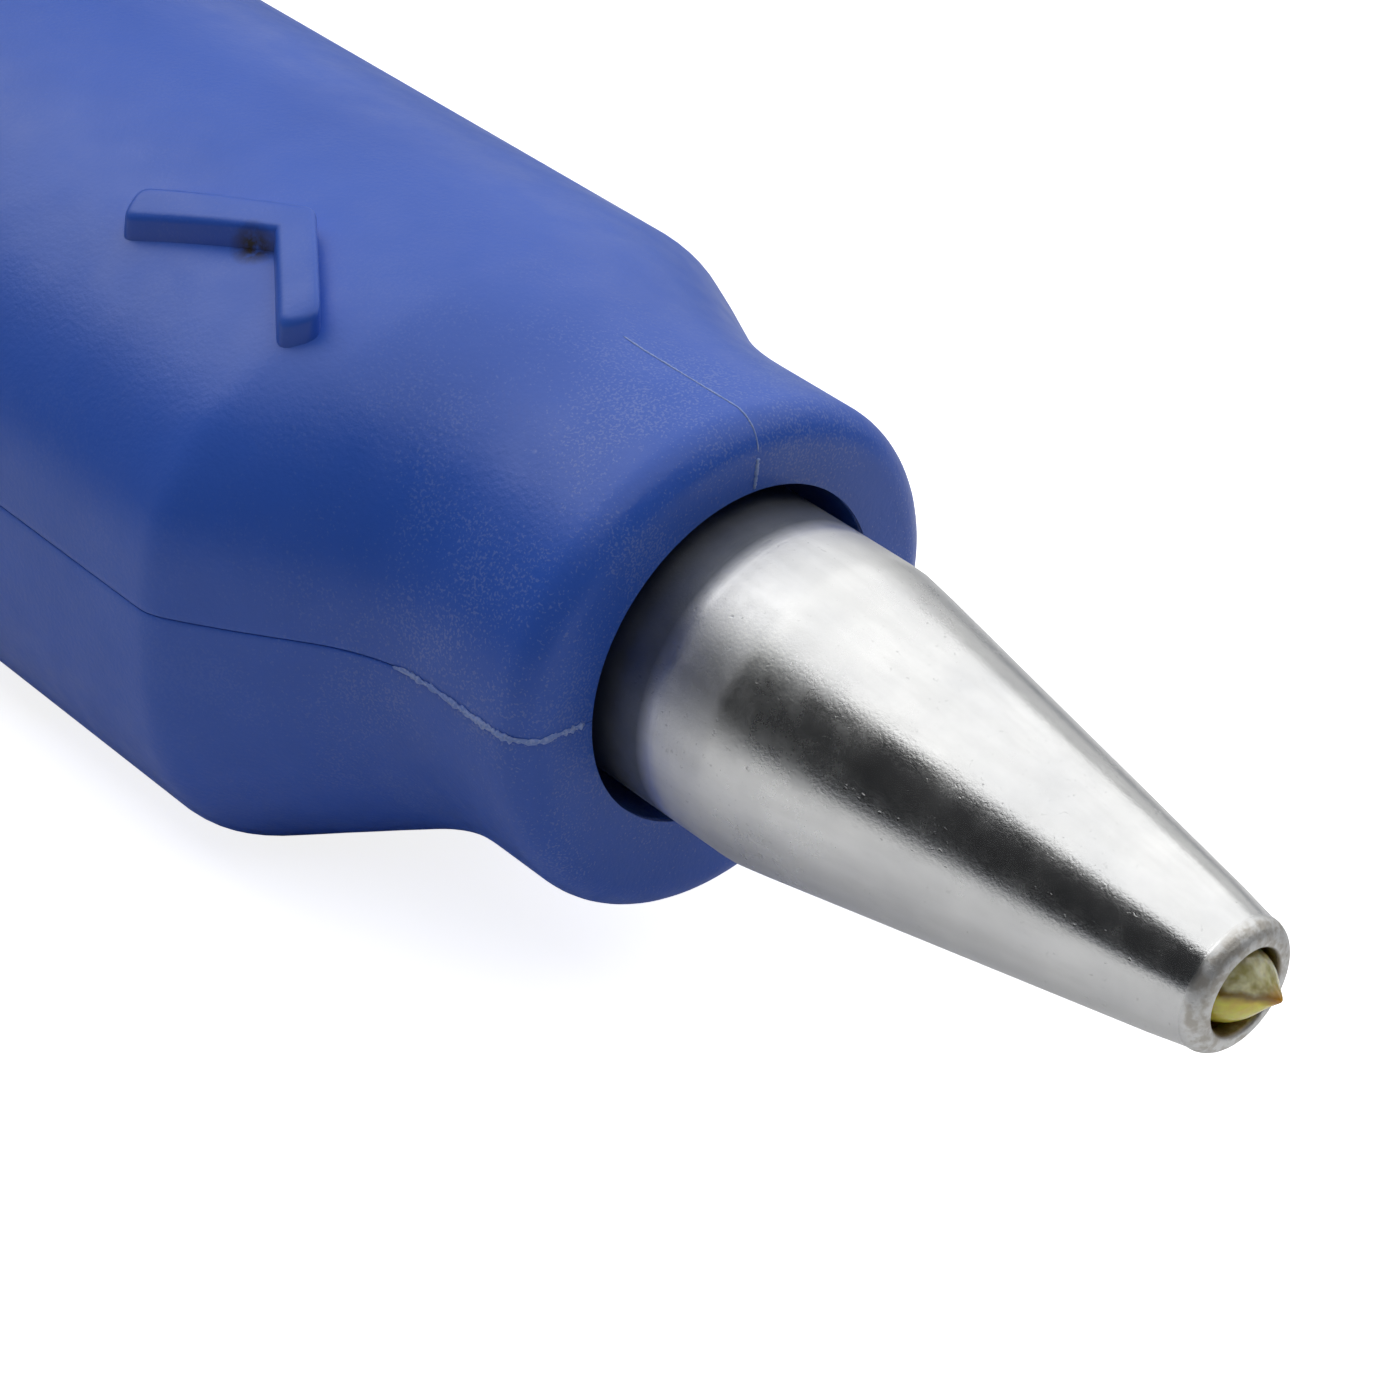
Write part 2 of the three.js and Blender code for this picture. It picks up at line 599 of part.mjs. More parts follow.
// ---------------------------------------------------------------- nose pieces
const innerBand = SHROUD_RADIUS - SHROUD_WALL;
const holeStart = SHROUD_LENGTH - SHROUD_LAND;
const roundOff = [0, 1, 2, 3].map((i) => {
  const turn = i * Math.PI / 6;
  return [
    SHROUD_LENGTH - SHROUD_TIP_ROUND + SHROUD_TIP_ROUND * Math.sin(turn),
    SHROUD_TIP_RADIUS - SHROUD_TIP_ROUND + SHROUD_TIP_ROUND * Math.cos(turn),
  ];
});
const shroud = turned([
  [flangeFront - FLANGE_THICK, innerBand], [flangeFront - FLANGE_THICK, flangeRadius],
  [flangeFront, flangeRadius], [flangeFront, SHROUD_RADIUS], [SHROUD_BAND, SHROUD_RADIUS],
  ...roundOff, [SHROUD_LENGTH, SHROUD_HOLE], [holeStart, SHROUD_HOLE],
  [SHROUD_BAND, innerBand],
], AROUND);

const beadTip = SHROUD_LENGTH + BEAD_PROUD;
const beadBack = beadTip - BEAD_LENGTH;
const nozzleTip = beadBack - BEAD_SEAT;
const orificeBack = nozzleTip - ORIFICE_LENGTH;
const filamentBore = FILAMENT / 2 + SLIP;
const nozzle = turned([
  [NOZZLE_BACK, filamentBore], [NOZZLE_BACK, NOZZLE_RADIUS], [NOZZLE_CONE_START, NOZZLE_RADIUS],
  [nozzleTip, NOZZLE_TIP_RADIUS], [nozzleTip, ORIFICE], [orificeBack, ORIFICE],
  [orificeBack - ORIFICE_TAPER, filamentBore],
], AROUND);

const bead = turned([
  [beadBack, 0], [beadBack, BEAD_RADIUS],
  [beadBack + BEAD_LENGTH * BEAD_WAIST[0], BEAD_RADIUS * BEAD_WAIST[1]],
  [beadTip - BEAD_POINT[0], BEAD_POINT[1]], [beadTip, 0],
], SMALL_ROUND);

const heaterInside = NOZZLE_RADIUS + SLIP;
const heaterStart = NOZZLE_BACK + HEATER_BACK;
const heaterEnd = heaterStart + HEATER_LENGTH;
const heater = turned([
  [heaterStart, heaterInside], [heaterStart, heaterInside + HEATER_WALL],
  [heaterEnd, heaterInside + HEATER_WALL], [heaterEnd, heaterInside],
]);

const thermistor = new THREE.CapsuleGeometry(THERMISTOR, THERMISTOR_LENGTH, 4, 12);
thermistor.rotateZ(-Math.PI / 2);
thermistor.translate(NOZZLE_BACK - THERMISTOR_BACK, 0, NOZZLE_RADIUS + THERMISTOR);

const breakFront = NOZZLE_BACK - BREAK_GAP;
const heatBreak = turned([
  [-BREAK_BEHIND, filamentBore], [-BREAK_BEHIND, BREAK_RADIUS],
  [breakFront, BREAK_RADIUS], [breakFront, filamentBore],
], SMALL_ROUND);

const ring = turned([
  [ringFront - RING_THICK, BREAK_RADIUS + SLIP], [ringFront - RING_THICK, flangeRadius],
  [ringFront, flangeRadius], [ringFront, BREAK_RADIUS + SLIP],
]);

// ---------------------------------------------------------------- filament path and drive
function tube(from, to) {
  const profile = [[from, TUBE_BORE], [from, TUBE_RADIUS], [to, TUBE_RADIUS], [to, TUBE_BORE]];
  return turned(profile, POST_ROUND);
}

const frontTube = tube(DRIVE_X + TUBE_CLEAR, -BREAK_BEHIND - GAP);
const rearTube = tube(capFront + TUBE_END, DRIVE_X - TUBE_CLEAR);

function toothedWheel() {
  const outline = new THREE.Shape();
  const pitch = 2 * Math.PI / DRIVE_TEETH;
  const corners = [];
  for (let i = 0; i < DRIVE_TEETH; i += 1) {
    for (const [share, cut] of TOOTH_SHARES) {
      const angle = (i + share) * pitch;
      const radius = DRIVE_RADIUS - TOOTH_DEPTH * cut;
      corners.push(new THREE.Vector2(radius * Math.cos(angle), radius * Math.sin(angle)));
    }
  }
  outline.setFromPoints(corners);
  const geometry = new THREE.ExtrudeGeometry(outline, { depth: DRIVE_WIDTH, bevelEnabled: false });
  geometry.translate(0, 0, -DRIVE_WIDTH / 2);
  geometry.rotateX(Math.PI / 2);
  geometry.translate(DRIVE_X, 0, driveZ);
  return solid(geometry);
}

const driveGear = toothedWheel()
  .subtract(rod('y', SHAFT_RADIUS + SLIP, -FAR, FAR, [DRIVE_X, driveZ], SMALL_ROUND));
const driveShaft = rod('y', SHAFT_RADIUS, shaftEnd, gearboxInside + SHAFT_STUB, [DRIVE_X, driveZ], SMALL_ROUND);

const gearbox = box(
  [gearboxBack, gearboxFront],
  [gearboxInside, gearboxOutside],
  gearboxHeights,
).subtract(rod('y', SHAFT_RADIUS + SLIP, 0, gearboxInside + SHAFT_STUB + GAP, [DRIVE_X, driveZ], SMALL_ROUND));

const motor = rod('x', MOTOR_RADIUS, motorBack, gearboxBack - SLIP, [motorY, MOTOR_Z]);

const idlerZ = FILAMENT / 2 + IDLER_RADIUS + NIP_GAP;
const pivotX = DRIVE_X - ARM_PIVOT_BACK;
const pivotZ = idlerZ + ARM_PIVOT_RISE;
const idler = rod('y', IDLER_RADIUS, -IDLER_WIDTH / 2, IDLER_WIDTH / 2, [DRIVE_X, idlerZ])
  .subtract(rod('y', IDLER_BORE + NIP_GAP, -FAR, FAR, [DRIVE_X, idlerZ], SMALL_ROUND));
const armInside = IDLER_WIDTH / 2 + GAP;
const armOutside = armInside + ARM_THICK;
const idlerPin = rod('y', IDLER_BORE, -IDLER_WIDTH / 2 - GAP, armOutside, [DRIVE_X, idlerZ], SMALL_ROUND);
const bracketOutside = armOutside + GAP + BRACKET[1];
const pivotPin = rod('y', IDLER_BORE, armInside - GAP, bracketOutside + GAP, [pivotX, pivotZ], SMALL_ROUND);

function plateBetween(points, half, ys) {
  const outline = new THREE.Shape();
  const [start, end] = points;
  const lean = Math.atan2(end[1] - start[1], end[0] - start[0]);
  outline.absarc(end[0], end[1], half, lean - Math.PI / 2, lean + Math.PI / 2);
  outline.absarc(start[0], start[1], half, lean + Math.PI / 2, lean + 3 * Math.PI / 2);
  const geometry = new THREE.ExtrudeGeometry(outline, {
    depth: ys[1] - ys[0], bevelEnabled: false, curveSegments: ARM_END_STEPS,
  });
  geometry.rotateX(Math.PI / 2);
  geometry.translate(0, ys[1], 0);
  return solid(geometry);
}

const armNoseX = DRIVE_X + ARM_NOSE;
const armNoseTop = idlerZ + ARM_HALF_HEIGHT;
const springSeat = box(
  [armNoseX - SPRING_SEAT[0] / 2, armNoseX + SPRING_SEAT[0] / 2],
  [-SEAT_REACH, armInside + GAP],
  [armNoseTop - SPRING_SEAT[1], armNoseTop],
);
const armLine = [[pivotX, pivotZ], [armNoseX, idlerZ]];
const idlerArm = plateBetween(armLine, ARM_HALF_HEIGHT, [armInside, armOutside])
  .add(springSeat)
  .subtract(rod('y', IDLER_BORE + SLIP, -FAR, FAR, [DRIVE_X, idlerZ], SMALL_ROUND))
  .subtract(rod('y', IDLER_BORE + SLIP, -FAR, FAR, [pivotX, pivotZ], SMALL_ROUND));

const springTop = topAt(armNoseX) - WALL - SPRING_WIRE - LOOSE;
const springBottom = armNoseTop + SPRING_WIRE + SLIP;

class Helix extends THREE.Curve {
  getPoint(t, target = new THREE.Vector3()) {
    const angle = 2 * Math.PI * SPRING_TURNS * t;
    const z = springBottom + (springTop - springBottom) * t;
    return target.set(
      armNoseX + SPRING_RADIUS * Math.cos(angle),
      SPRING_RADIUS * Math.sin(angle),
      z,
    );
  }
}

function wire(curve, radius, stepCount, sides) {
  const section = new THREE.Shape();
  section.absarc(0, 0, radius, 0, 2 * Math.PI);
  return new THREE.ExtrudeGeometry(section, {
    steps: stepCount, extrudePath: curve, curveSegments: sides, bevelEnabled: false,
  });
}

const bracket = box(
  [pivotX - BRACKET[0] / 2, pivotX + BRACKET[0] / 2],
  [armOutside + GAP, bracketOutside],
  [gearboxHeights[1] + SLIP, pivotZ + BRACKET[2]],
).subtract(rod('y', IDLER_BORE + SLIP, 0, FAR, [pivotX, pivotZ], SMALL_ROUND));

// ---------------------------------------------------------------- boards, switches, buttons
// A board is notched round each screw boss that it passes.
function board(span, bottom) {
  const panel = box(span, [-BOARD_HALF_WIDTH, BOARD_HALF_WIDTH], [bottom, bottom + BOARD_THICK]);
  const heights = [bottom - PAST, bottom + BOARD_THICK + PAST];
  const notch = (place) => rod('z', BOSS_RADIUS + GAP, heights[0], heights[1], place, POST_ROUND);
  return screwPlaces.reduce((shape, place) => shape.subtract(notch(place)), panel);
}

function tactSwitch(x) {
  const half = SWITCH_SIDE / 2;
  const low = boardTop + SOLDER;
  return box([x - half, x + half], [-half, half], [low, boardTop + SWITCH_HEIGHT])
    .add(rod('z', PLUNGER_RADIUS, boardTop + SWITCH_HEIGHT / 2, plungerTop, [x, 0], SMALL_ROUND));
}

const skinSpan = [-FEED_BUTTON.x - FEED_BUTTON.length, -REVERSE_BUTTON.x + REVERSE_BUTTON.length];
const buttonSkin = caseSolid(steps(skinSpan[0], skinSpan[1], SKIN_STEPS), BUTTON_PROUD);
function button(spec) {
  const stem = stadium(spec.x, 0, spec.length, spec.width, lipBottom, FAR / 2).intersect(buttonSkin);
  return stem.add(buttonHole(spec, BUTTON_LIP, lipBottom, lipTop));
}

const padTop = padBottom + SLIDER_PAD[2];
const sliderKnob = stadium(SLIDER_X, 0, SLIDER_PAD[0], SLIDER_PAD[1], padBottom, padTop)
  .add(stadium(SLIDER_X, 0, SLIDER_STEM[0], SLIDER_STEM[1], potTop + SLIP, padBottom + STEM_LAP));
const pot = box(
  [SLIDER_X - POT[0] / 2, SLIDER_X + POT[0] / 2],
  [-POT[1] / 2, POT[1] / 2],
  [rearBoardTop + SOLDER, potTop],
);
const lampTop = rearBoardTop + LAMP_HEIGHT;
const lamp = rod('z', LAMP_RADIUS, rearBoardTop + SOLDER, lampTop, [LAMP_X, 0], SMALL_ROUND);
const pipeBottom = lampTop + GAP;
const pipeLip = [pipeBottom, pipeBottom + LAMP_LIP_THICK];
const lightPipe = rod('z', LAMP_RADIUS, pipeBottom, topAt(LAMP_X), [LAMP_X, 0], SMALL_ROUND)
  .add(rod('z', LAMP_RADIUS + LAMP_LIP, pipeLip[0], pipeLip[1], [LAMP_X, 0], SMALL_ROUND));

// ---------------------------------------------------------------- rear pieces
const jackWell = jackSpan[0] + JACK_DEPTH;
const jack = box(jackSpan, [-JACK[1] / 2, JACK[1] / 2], jackHeights)
  .subtract(rod('x', JACK_BARREL, jackSpan[0] - PAST, jackWell, [0, jackZ], ROUND))
  .add(rod('x', JACK_PIN, jackSpan[0] + JACK_PIN_BACK, jackWell + GAP, [0, jackZ], SCREW_ROUND));
const inletEnd = capBack - INLET_PROUD;
const inletSeat = capBack - BOARD_REST;
const inletBore = filamentBore + LOOSE;
const inletBush = turned([
  [inletEnd, filamentBore + INLET_MOUTH], [inletEnd, INLET_FLANGE - INLET_ROUND],
  [inletEnd + INLET_ROUND, INLET_FLANGE], [inletSeat, INLET_FLANGE],
  [inletSeat, INLET_RADIUS], [capFront - GAP, INLET_RADIUS], [capFront - GAP, inletBore],
  [capBack + INLET_PROUD, inletBore],
], BUSH_ROUND);

// ---------------------------------------------------------------- screws
function screw(x, y) {
  const headBottom = SCREW_SEAT - SCREW_HEAD_THICK;
  const slot = (length, width) => box(
    [x - length / 2, x + length / 2],
    [y - width / 2, y + width / 2],
    [headBottom - PAST, headBottom + CROSS[2]],
  );
  return rod('z', SCREW_HEAD, headBottom, SCREW_SEAT - BOARD_REST, [x, y], SMALL_ROUND)
    .add(rod('z', SCREW_RADIUS, SCREW_SEAT - GAP, SCREW_SEAT + SCREW_BITE + SCREW_TIP, [x, y], SCREW_ROUND))
    .subtract(slot(CROSS[0], CROSS[1]))
    .subtract(slot(CROSS[1], CROSS[0]));
}

// ---------------------------------------------------------------- scene graph
const finish = (color, roughness, metalness) => ({ color, roughness, metalness });
const BLUE = finish(0x3a52a0, 0.42, 0);
const ALUMINIUM = finish(0xc9ccd0, 0.28, 1);
const BRASS = finish(0xb8903c, 0.3, 1);
const AMBER = finish(0xc0a032, 0.2, 0);
const CERAMIC = finish(0xe8e4da, 0.6, 0);
const STEEL = finish(0x9aa0a6, 0.35, 1);
const WHITE = finish(0xe9ecee, 0.5, 0);
const BLACK = finish(0x1d1f22, 0.5, 0);
const GREEN = finish(0x1f6b3c, 0.5, 0);
const GREY = finish(0xb4b9c2, 0.45, 0);
const CLEAR = finish(0xdfe8ee, 0.1, 0);

const pen = new THREE.Group();
function add(name, shape, look) {
  const geometry = shape.isBufferGeometry ? shape : geometryOf(shape);
  const mesh = new THREE.Mesh(geometry, new THREE.MeshStandardMaterial(look));
  mesh.name = name;
  pen.add(mesh);
}

add('upper_shell', upperShell, BLUE);
add('lower_shell', lowerShell, BLUE);
add('rear_cap', rearCap, BLUE);
add('nozzle_shroud', shroud, ALUMINIUM);
add('nozzle', nozzle, BRASS);
add('plastic_bead', bead, AMBER);
add('heater_sleeve', heater, CERAMIC);
add('thermistor', thermistor, AMBER);
add('heat_break', heatBreak, STEEL);
add('insulator_ring', ring, WHITE);
add('front_guide_tube', frontTube, WHITE);
add('rear_guide_tube', rearTube, WHITE);
add('drive_gear', driveGear, BRASS);
add('drive_shaft', driveShaft, STEEL);
add('gearbox', gearbox, STEEL);
add('motor', motor, STEEL);
add('pivot_bracket', bracket, STEEL);
add('idler_arm', idlerArm, BLACK);
add('idler_bearing', idler, STEEL);
add('idler_pin', idlerPin, STEEL);
add('arm_pivot_pin', pivotPin, STEEL);
add('idler_spring', wire(new Helix(), SPRING_WIRE, SPRING_TURNS * WIRE_STEPS, WIRE_SIDES), STEEL);
add('control_board', board(FRONT_BOARD, boardBottom), GREEN);
add('power_board', board(REAR_BOARD, rearBoardBottom), GREEN);
add('feed_switch', tactSwitch(FEED_BUTTON.x), BLACK);
add('reverse_switch', tactSwitch(REVERSE_BUTTON.x), BLACK);
add('feed_button', button(FEED_BUTTON), GREY);
add('reverse_button', button(REVERSE_BUTTON), GREY);
add('speed_slider', sliderKnob, GREY);
add('slide_pot', pot, STEEL);
add('status_lamp', lamp, CLEAR);
add('light_pipe', lightPipe, CLEAR);
add('power_socket', jack, BLACK);
add('inlet_bush', inletBush, WHITE);
const screwNames = ['front_left', 'front_right', 'rear_left', 'rear_right'];
screwPlaces.forEach(([x, y], i) => add(`case_screw_${screwNames[i]}`, screw(x, y), STEEL));

// The origin goes to the middle of the flat base.
const length = beadTip - (capBack - INLET_PROUD);
pen.position.set(length / 2 - beadTip, 0, REST_DEPTH);
pen.updateMatrixWorld(true);

export default pen;
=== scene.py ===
import json
import math
import random

import bmesh
import bpy
from mathutils import Matrix, Vector


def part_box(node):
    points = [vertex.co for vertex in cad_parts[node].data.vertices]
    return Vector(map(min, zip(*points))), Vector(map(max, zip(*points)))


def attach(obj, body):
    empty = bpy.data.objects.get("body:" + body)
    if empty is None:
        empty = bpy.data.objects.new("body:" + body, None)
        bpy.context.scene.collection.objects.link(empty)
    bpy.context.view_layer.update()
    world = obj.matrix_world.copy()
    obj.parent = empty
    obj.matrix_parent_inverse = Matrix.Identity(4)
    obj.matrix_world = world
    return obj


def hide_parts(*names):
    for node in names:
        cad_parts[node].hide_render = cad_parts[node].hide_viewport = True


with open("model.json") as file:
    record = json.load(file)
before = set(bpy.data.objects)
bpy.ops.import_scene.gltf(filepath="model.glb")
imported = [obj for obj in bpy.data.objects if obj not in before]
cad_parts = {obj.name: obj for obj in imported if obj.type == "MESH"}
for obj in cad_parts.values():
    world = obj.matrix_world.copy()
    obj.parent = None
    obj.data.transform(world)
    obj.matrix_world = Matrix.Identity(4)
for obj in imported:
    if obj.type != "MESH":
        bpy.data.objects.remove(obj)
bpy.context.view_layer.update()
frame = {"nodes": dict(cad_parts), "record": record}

# ---------------------------------------------------------------- case shells
# The pen's case is a clamshell of two injection moulded shells in blue ABS with a fine spark-eroded
# skin. They meet along the sides, form the thick collar round the nozzle, and are held by four screws.
mounts = {mount["name"]: mount for mount in frame["record"]["mounts"]}
shroud_low, shroud_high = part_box("nozzle_shroud")
FACE_X = mounts["collar_face"]["pos_m"][0]
AXIS_Z = (shroud_low[2] + shroud_high[2]) / 2
MM = 0.001
REST_DEPTH = AXIS_Z / MM
CASE_LENGTH = (FACE_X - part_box("upper_shell")[0][0]) / MM

COLLAR = {"half": 9.15, "top": 8.7, "bottom": 9.9}
GRIP = {"half": 13.1, "top": 9.3, "bottom": 13.7}
FLARES = {"half": (4.8, 14.7), "top": (4.8, 12.1), "bottom": (3.6, 15.2)}
COLLAR_ROUND = 1.3
FILLET_SHARE = 0.474
CREST_SHARE = 0.105
LOWER_SQUARENESS = 2.85
BELLY = (58, 86)
BELLY_RISE = 2.75
BELLY_SWELL = 1.1
TAIL = (122, 152)
TAIL_DROP = 2.0
TAIL_PINCH = 1.6
WALL = 2.0
PARTING_NOSE = -0.25
PARTING_BODY = -1.3
PARTING_GAP = 0.03
BORE = 6.15
POCKET = 7.13
PASSAGE = 1.9
BORE_END = 4.0
POCKET_END = 9.0
CAVITY_START = 11.0
ARC_STEPS = 64
ARC_MIDDLE = 0.93
ARC_EDGE = (-1, -0.996, -0.988, -0.97)
PARTING_EASE = (0.05, 0.016, 0.004)
BORE_EASE = ((0.0, 0.28), (0.07, 0.12), (0.22, 0.02))


def place(x, y, z):
    """A point in metres, from millimetres ahead of the collar's face and about the nozzle axis."""
    return Vector((FACE_X + x * MM, y * MM, AXIS_Z + z * MM))


def height_of(name, end):
    """The bottom (0) or top (1) of a CAD piece, in millimetres above the nozzle axis."""
    return (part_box(name)[end][2] - AXIS_Z) / MM


def share_of(value, span):
    return min(max((value - span[0]) / (span[1] - span[0]), 0.0), 1.0)


def ease(value, span):
    t = share_of(value, span)
    return t * t * (3 - 2 * t)


def flare(value, span):
    """The shoulder's curve: a long fillet, a straight slope and a short round at the crest."""
    t = share_of(value, span)
    slope = 1 / (1 - FILLET_SHARE / 2 - CREST_SHARE / 2)
    if t < FILLET_SHARE:
        return slope * t * t / (2 * FILLET_SHARE)
    if t > 1 - CREST_SHARE:
        return 1 - slope * (1 - t) ** 2 / (2 * CREST_SHARE)
    return slope * (t - FILLET_SHARE / 2)


def outline_at(behind):
    size = {key: COLLAR[key] + (GRIP[key] - COLLAR[key]) * flare(behind, FLARES[key]) for key in COLLAR}
    belly = ease(behind, BELLY)
    tail = ease(behind, TAIL)
    size["half"] += BELLY_SWELL * belly - TAIL_PINCH * tail
    size["top"] += BELLY_RISE * belly - TAIL_DROP * tail
    edge = max(0.0, COLLAR_ROUND - behind)
    rounding = COLLAR_ROUND - math.sqrt(COLLAR_ROUND**2 - edge**2)
    squareness = 2 + (LOWER_SQUARENESS - 2) * flare(behind, FLARES["bottom"])
    return {key: value - rounding for key, value in size.items()}, squareness


def case_radius(behind, angle, grow=0.0):
    size, squareness = outline_at(behind)
    up = math.cos(angle)
    power = 2 if up > 0 else squareness
    height = (size["top"] if up > 0 else size["bottom"]) + grow
    across = (abs(math.sin(angle)) / (size["half"] + grow)) ** power
    radius = (across + (abs(up) / height) ** power) ** (-1 / power)
    return radius if up >= 0 else min(radius, (REST_DEPTH + grow) / -up)


def parting_at(behind):
    return PARTING_NOSE + (PARTING_BODY - PARTING_NOSE) * ease(behind, FLARES["bottom"])


def parting_angle(radius_at, height):
    """The angle from straight up at which a section crosses a height."""
    low, high = math.radians(40), math.radians(140)
    for _ in range(40):
        middle = (low + high) / 2
        if radius_at(middle) * math.cos(middle) > height:
            low = middle
        else:
            high = middle
    return low


def spread(start, end, count):
    return [start + (end - start) * i / count for i in range(1, count + 1)]


def quarter(steps):
    """The steps of a quarter turn, without its start."""
    return [math.pi / 2 * i / steps for i in range(1, steps + 1)]


def edge_round(radius, steps):
    """A rounded edge from its side to its top, as pairs of inset and drop."""
    return [(radius * (1 - math.cos(t)), radius * (1 - math.sin(t))) for t in (0, *quarter(steps))]


def inside_radius(kind, behind, angle):
    if kind == "cavity":
        return case_radius(behind, angle, -WALL)
    return {"pocket": POCKET, "passage": PASSAGE}.get(kind, BORE + (kind if isinstance(kind, float) else 0))


def arc(radius_at, side, height, eased):
    """One side's arc of a section, from parting line to parting line, as (y, z) in millimetres."""
    middle = [-ARC_MIDDLE + 2 * ARC_MIDDLE * i / ARC_STEPS for i in range(ARC_STEPS + 1)]
    shares = [*ARC_EDGE, *middle, *(-share for share in reversed(ARC_EDGE))]
    limit = parting_angle(radius_at, height)
    points = []
    for i, share in enumerate(shares):
        angle = share * limit if side > 0 else math.pi + share * (math.pi - limit)
        from_edge = min(i, len(shares) - 1 - i)
        ease_off = PARTING_EASE[from_edge] if eased and from_edge < len(PARTING_EASE) else 0
        radius = radius_at(angle) - ease_off
        points.append((-radius * math.sin(angle), radius * math.cos(angle)))
    return points


def section(row, side):
    """A closed ring of points: the outer arc, then the inner arc back again."""
    behind, kind, collapsed = row
    height = parting_at(behind) + side * PARTING_GAP / 2
    inner = arc(lambda angle: inside_radius(kind, behind, angle), side, height, False)
    outer = inner if collapsed else arc(lambda angle: case_radius(behind, angle), side, height, True)
    return [(-behind, y, z) for y, z in outer + inner[::-1]]


def rolled(sections):
    """A grid whose rows become the sections, closed round and merged where points meet."""
    rows, across = len(sections), len(sections[0])
    bm = bmesh.new()
    bmesh.ops.create_grid(bm, x_segments=rows - 1, y_segments=across, size=1)
    for vert in bm.verts:
        row = round((vert.co.x + 1) / 2 * (rows - 1))
        column = round((vert.co.y + 1) / 2 * across) % across
        vert.co = place(*sections[row][column])
    bmesh.ops.remove_doubles(bm, verts=bm.verts, dist=1e-7)
    bmesh.ops.recalc_face_normals(bm, faces=bm.faces)
    return bm


def shell_rows():
    """Each row of a shell: how far behind the face, what it is inside, and whether it is closed."""
    turn = [inset for inset, _ in edge_round(COLLAR_ROUND, 10)[1:]]
    stations = sorted(turn + [depth for depth, _ in BORE_EASE[1:]])
    stations += spread(COLLAR_ROUND, FLARES["bottom"][0], 4)
    stations += spread(FLARES["bottom"][0], FLARES["bottom"][1], 58)
    stations += spread(FLARES["bottom"][1], BELLY[0], 14) + spread(*BELLY, 16)
    stations += spread(BELLY[1], TAIL[0], 6) + spread(TAIL[0], CASE_LENGTH, 14)
    steps = {BORE_END: ("bore", "pocket"), POCKET_END: ("pocket", "passage")}
    steps[CAVITY_START] = ("passage", "cavity")
    rows = [(0.0, BORE_EASE[0][1], True), (0.0, BORE_EASE[0][1], False)]
    kind = "bore"
    for station in sorted(set(stations) | set(steps)):
        if station in steps:
            rows += [(station, key, False) for key in steps[station]]
            kind = steps[station][1]
            continue
        eased = [extra for depth, extra in BORE_EASE if abs(depth - station) < 1e-9]
        rows.append((station, eased[0] if eased else kind, False))
    return rows + [(CASE_LENGTH, "cavity", True)]


def to_mesh(bm, name):
    mesh = bpy.data.meshes.new(name)
    bm.to_mesh(mesh)
    bm.free()
    made = bpy.data.objects.new(name, mesh)
    bpy.context.scene.collection.objects.link(made)
    return made


def tool(bm):
    """A cutting or joining shape that leaves the scene once it is used."""
    bmesh.ops.recalc_face_normals(bm, faces=bm.faces)
    return to_mesh(bm, "tool")


def boolean(target, tools, operation):
    """Cuts or joins a list of tools and keeps the result as the target's own mesh."""
    for each in tools:
        modifier = target.modifiers.new("boolean", "BOOLEAN")
        modifier.operation = operation
        modifier.solver = "EXACT"
        modifier.object = each
    graph = bpy.context.evaluated_depsgraph_get()
    result = bpy.data.meshes.new_from_object(target.evaluated_get(graph))
    target.modifiers.clear()
    target.data = result
    for each in tools:
        bpy.data.objects.remove(each)


def dress(made, material, body, nodes=(), crease=32):
    """Smooth shading broken at real edges, then the material, body and nodes it stands for."""
    mesh = made.data
    mesh.polygons.foreach_set("use_smooth", [True] * len(mesh.polygons))
    mesh.set_sharp_from_angle(angle=math.radians(crease))
    mesh.materials.clear()
    mesh.materials.append(material)
    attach(made, body)
    if nodes:
        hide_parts(*nodes)
    return made


def cylinder(axis, radius, start, end, centre, segments=48):
    """A round tool along an axis, from and to given millimetres, about a centre on the other two."""
    bm = bmesh.new()
    size = {"radius1": radius * MM, "radius2": radius * MM, "depth": (end - start) * MM}
    bmesh.ops.create_cone(bm, cap_ends=True, segments=segments, **size)
    turn = {"x": Matrix.Rotation(math.pi / 2, 4, "Y"), "y": Matrix.Rotation(math.pi / 2, 4, "X")}
    middle = (start + end) / 2
    spot = {"x": (middle, *centre), "y": (centre[0], middle, centre[1]), "z": (*centre, middle)}[axis]
    bmesh.ops.transform(bm, matrix=Matrix.Translation(place(*spot)) @ turn.get(axis, Matrix()), verts=bm.verts)
    return bm


def stadium(length, width, bottom, top, segments=50):
    """A round-ended bar about the origin, in metres, standing along Z."""
    bm = bmesh.new()
    bmesh.ops.create_circle(bm, cap_ends=True, segments=segments, radius=width / 2 * MM)
    bmesh.ops.rotate(bm, matrix=Matrix.Rotation(math.pi / segments, 3, "Z"), verts=bm.verts)
    reach = (length - width) / 2 * MM
    for vert in bm.verts:
        vert.co.x += math.copysign(reach, vert.co.x)
        vert.co.z = bottom * MM
    grown = bmesh.ops.extrude_face_region(bm, geom=bm.faces[:])
    raised = [item for item in grown["geom"] if isinstance(item, bmesh.types.BMVert)]
    bmesh.ops.translate(bm, vec=(0, 0, (top - bottom) * MM), verts=raised)
    bmesh.ops.recalc_face_normals(bm, faces=bm.faces)
    return bm


def stadium_at(x, length, width, bottom, top):
    bm = stadium(length, width, bottom, top)
    bmesh.ops.translate(bm, vec=place(x, 0, 0), verts=bm.verts)
    return bm


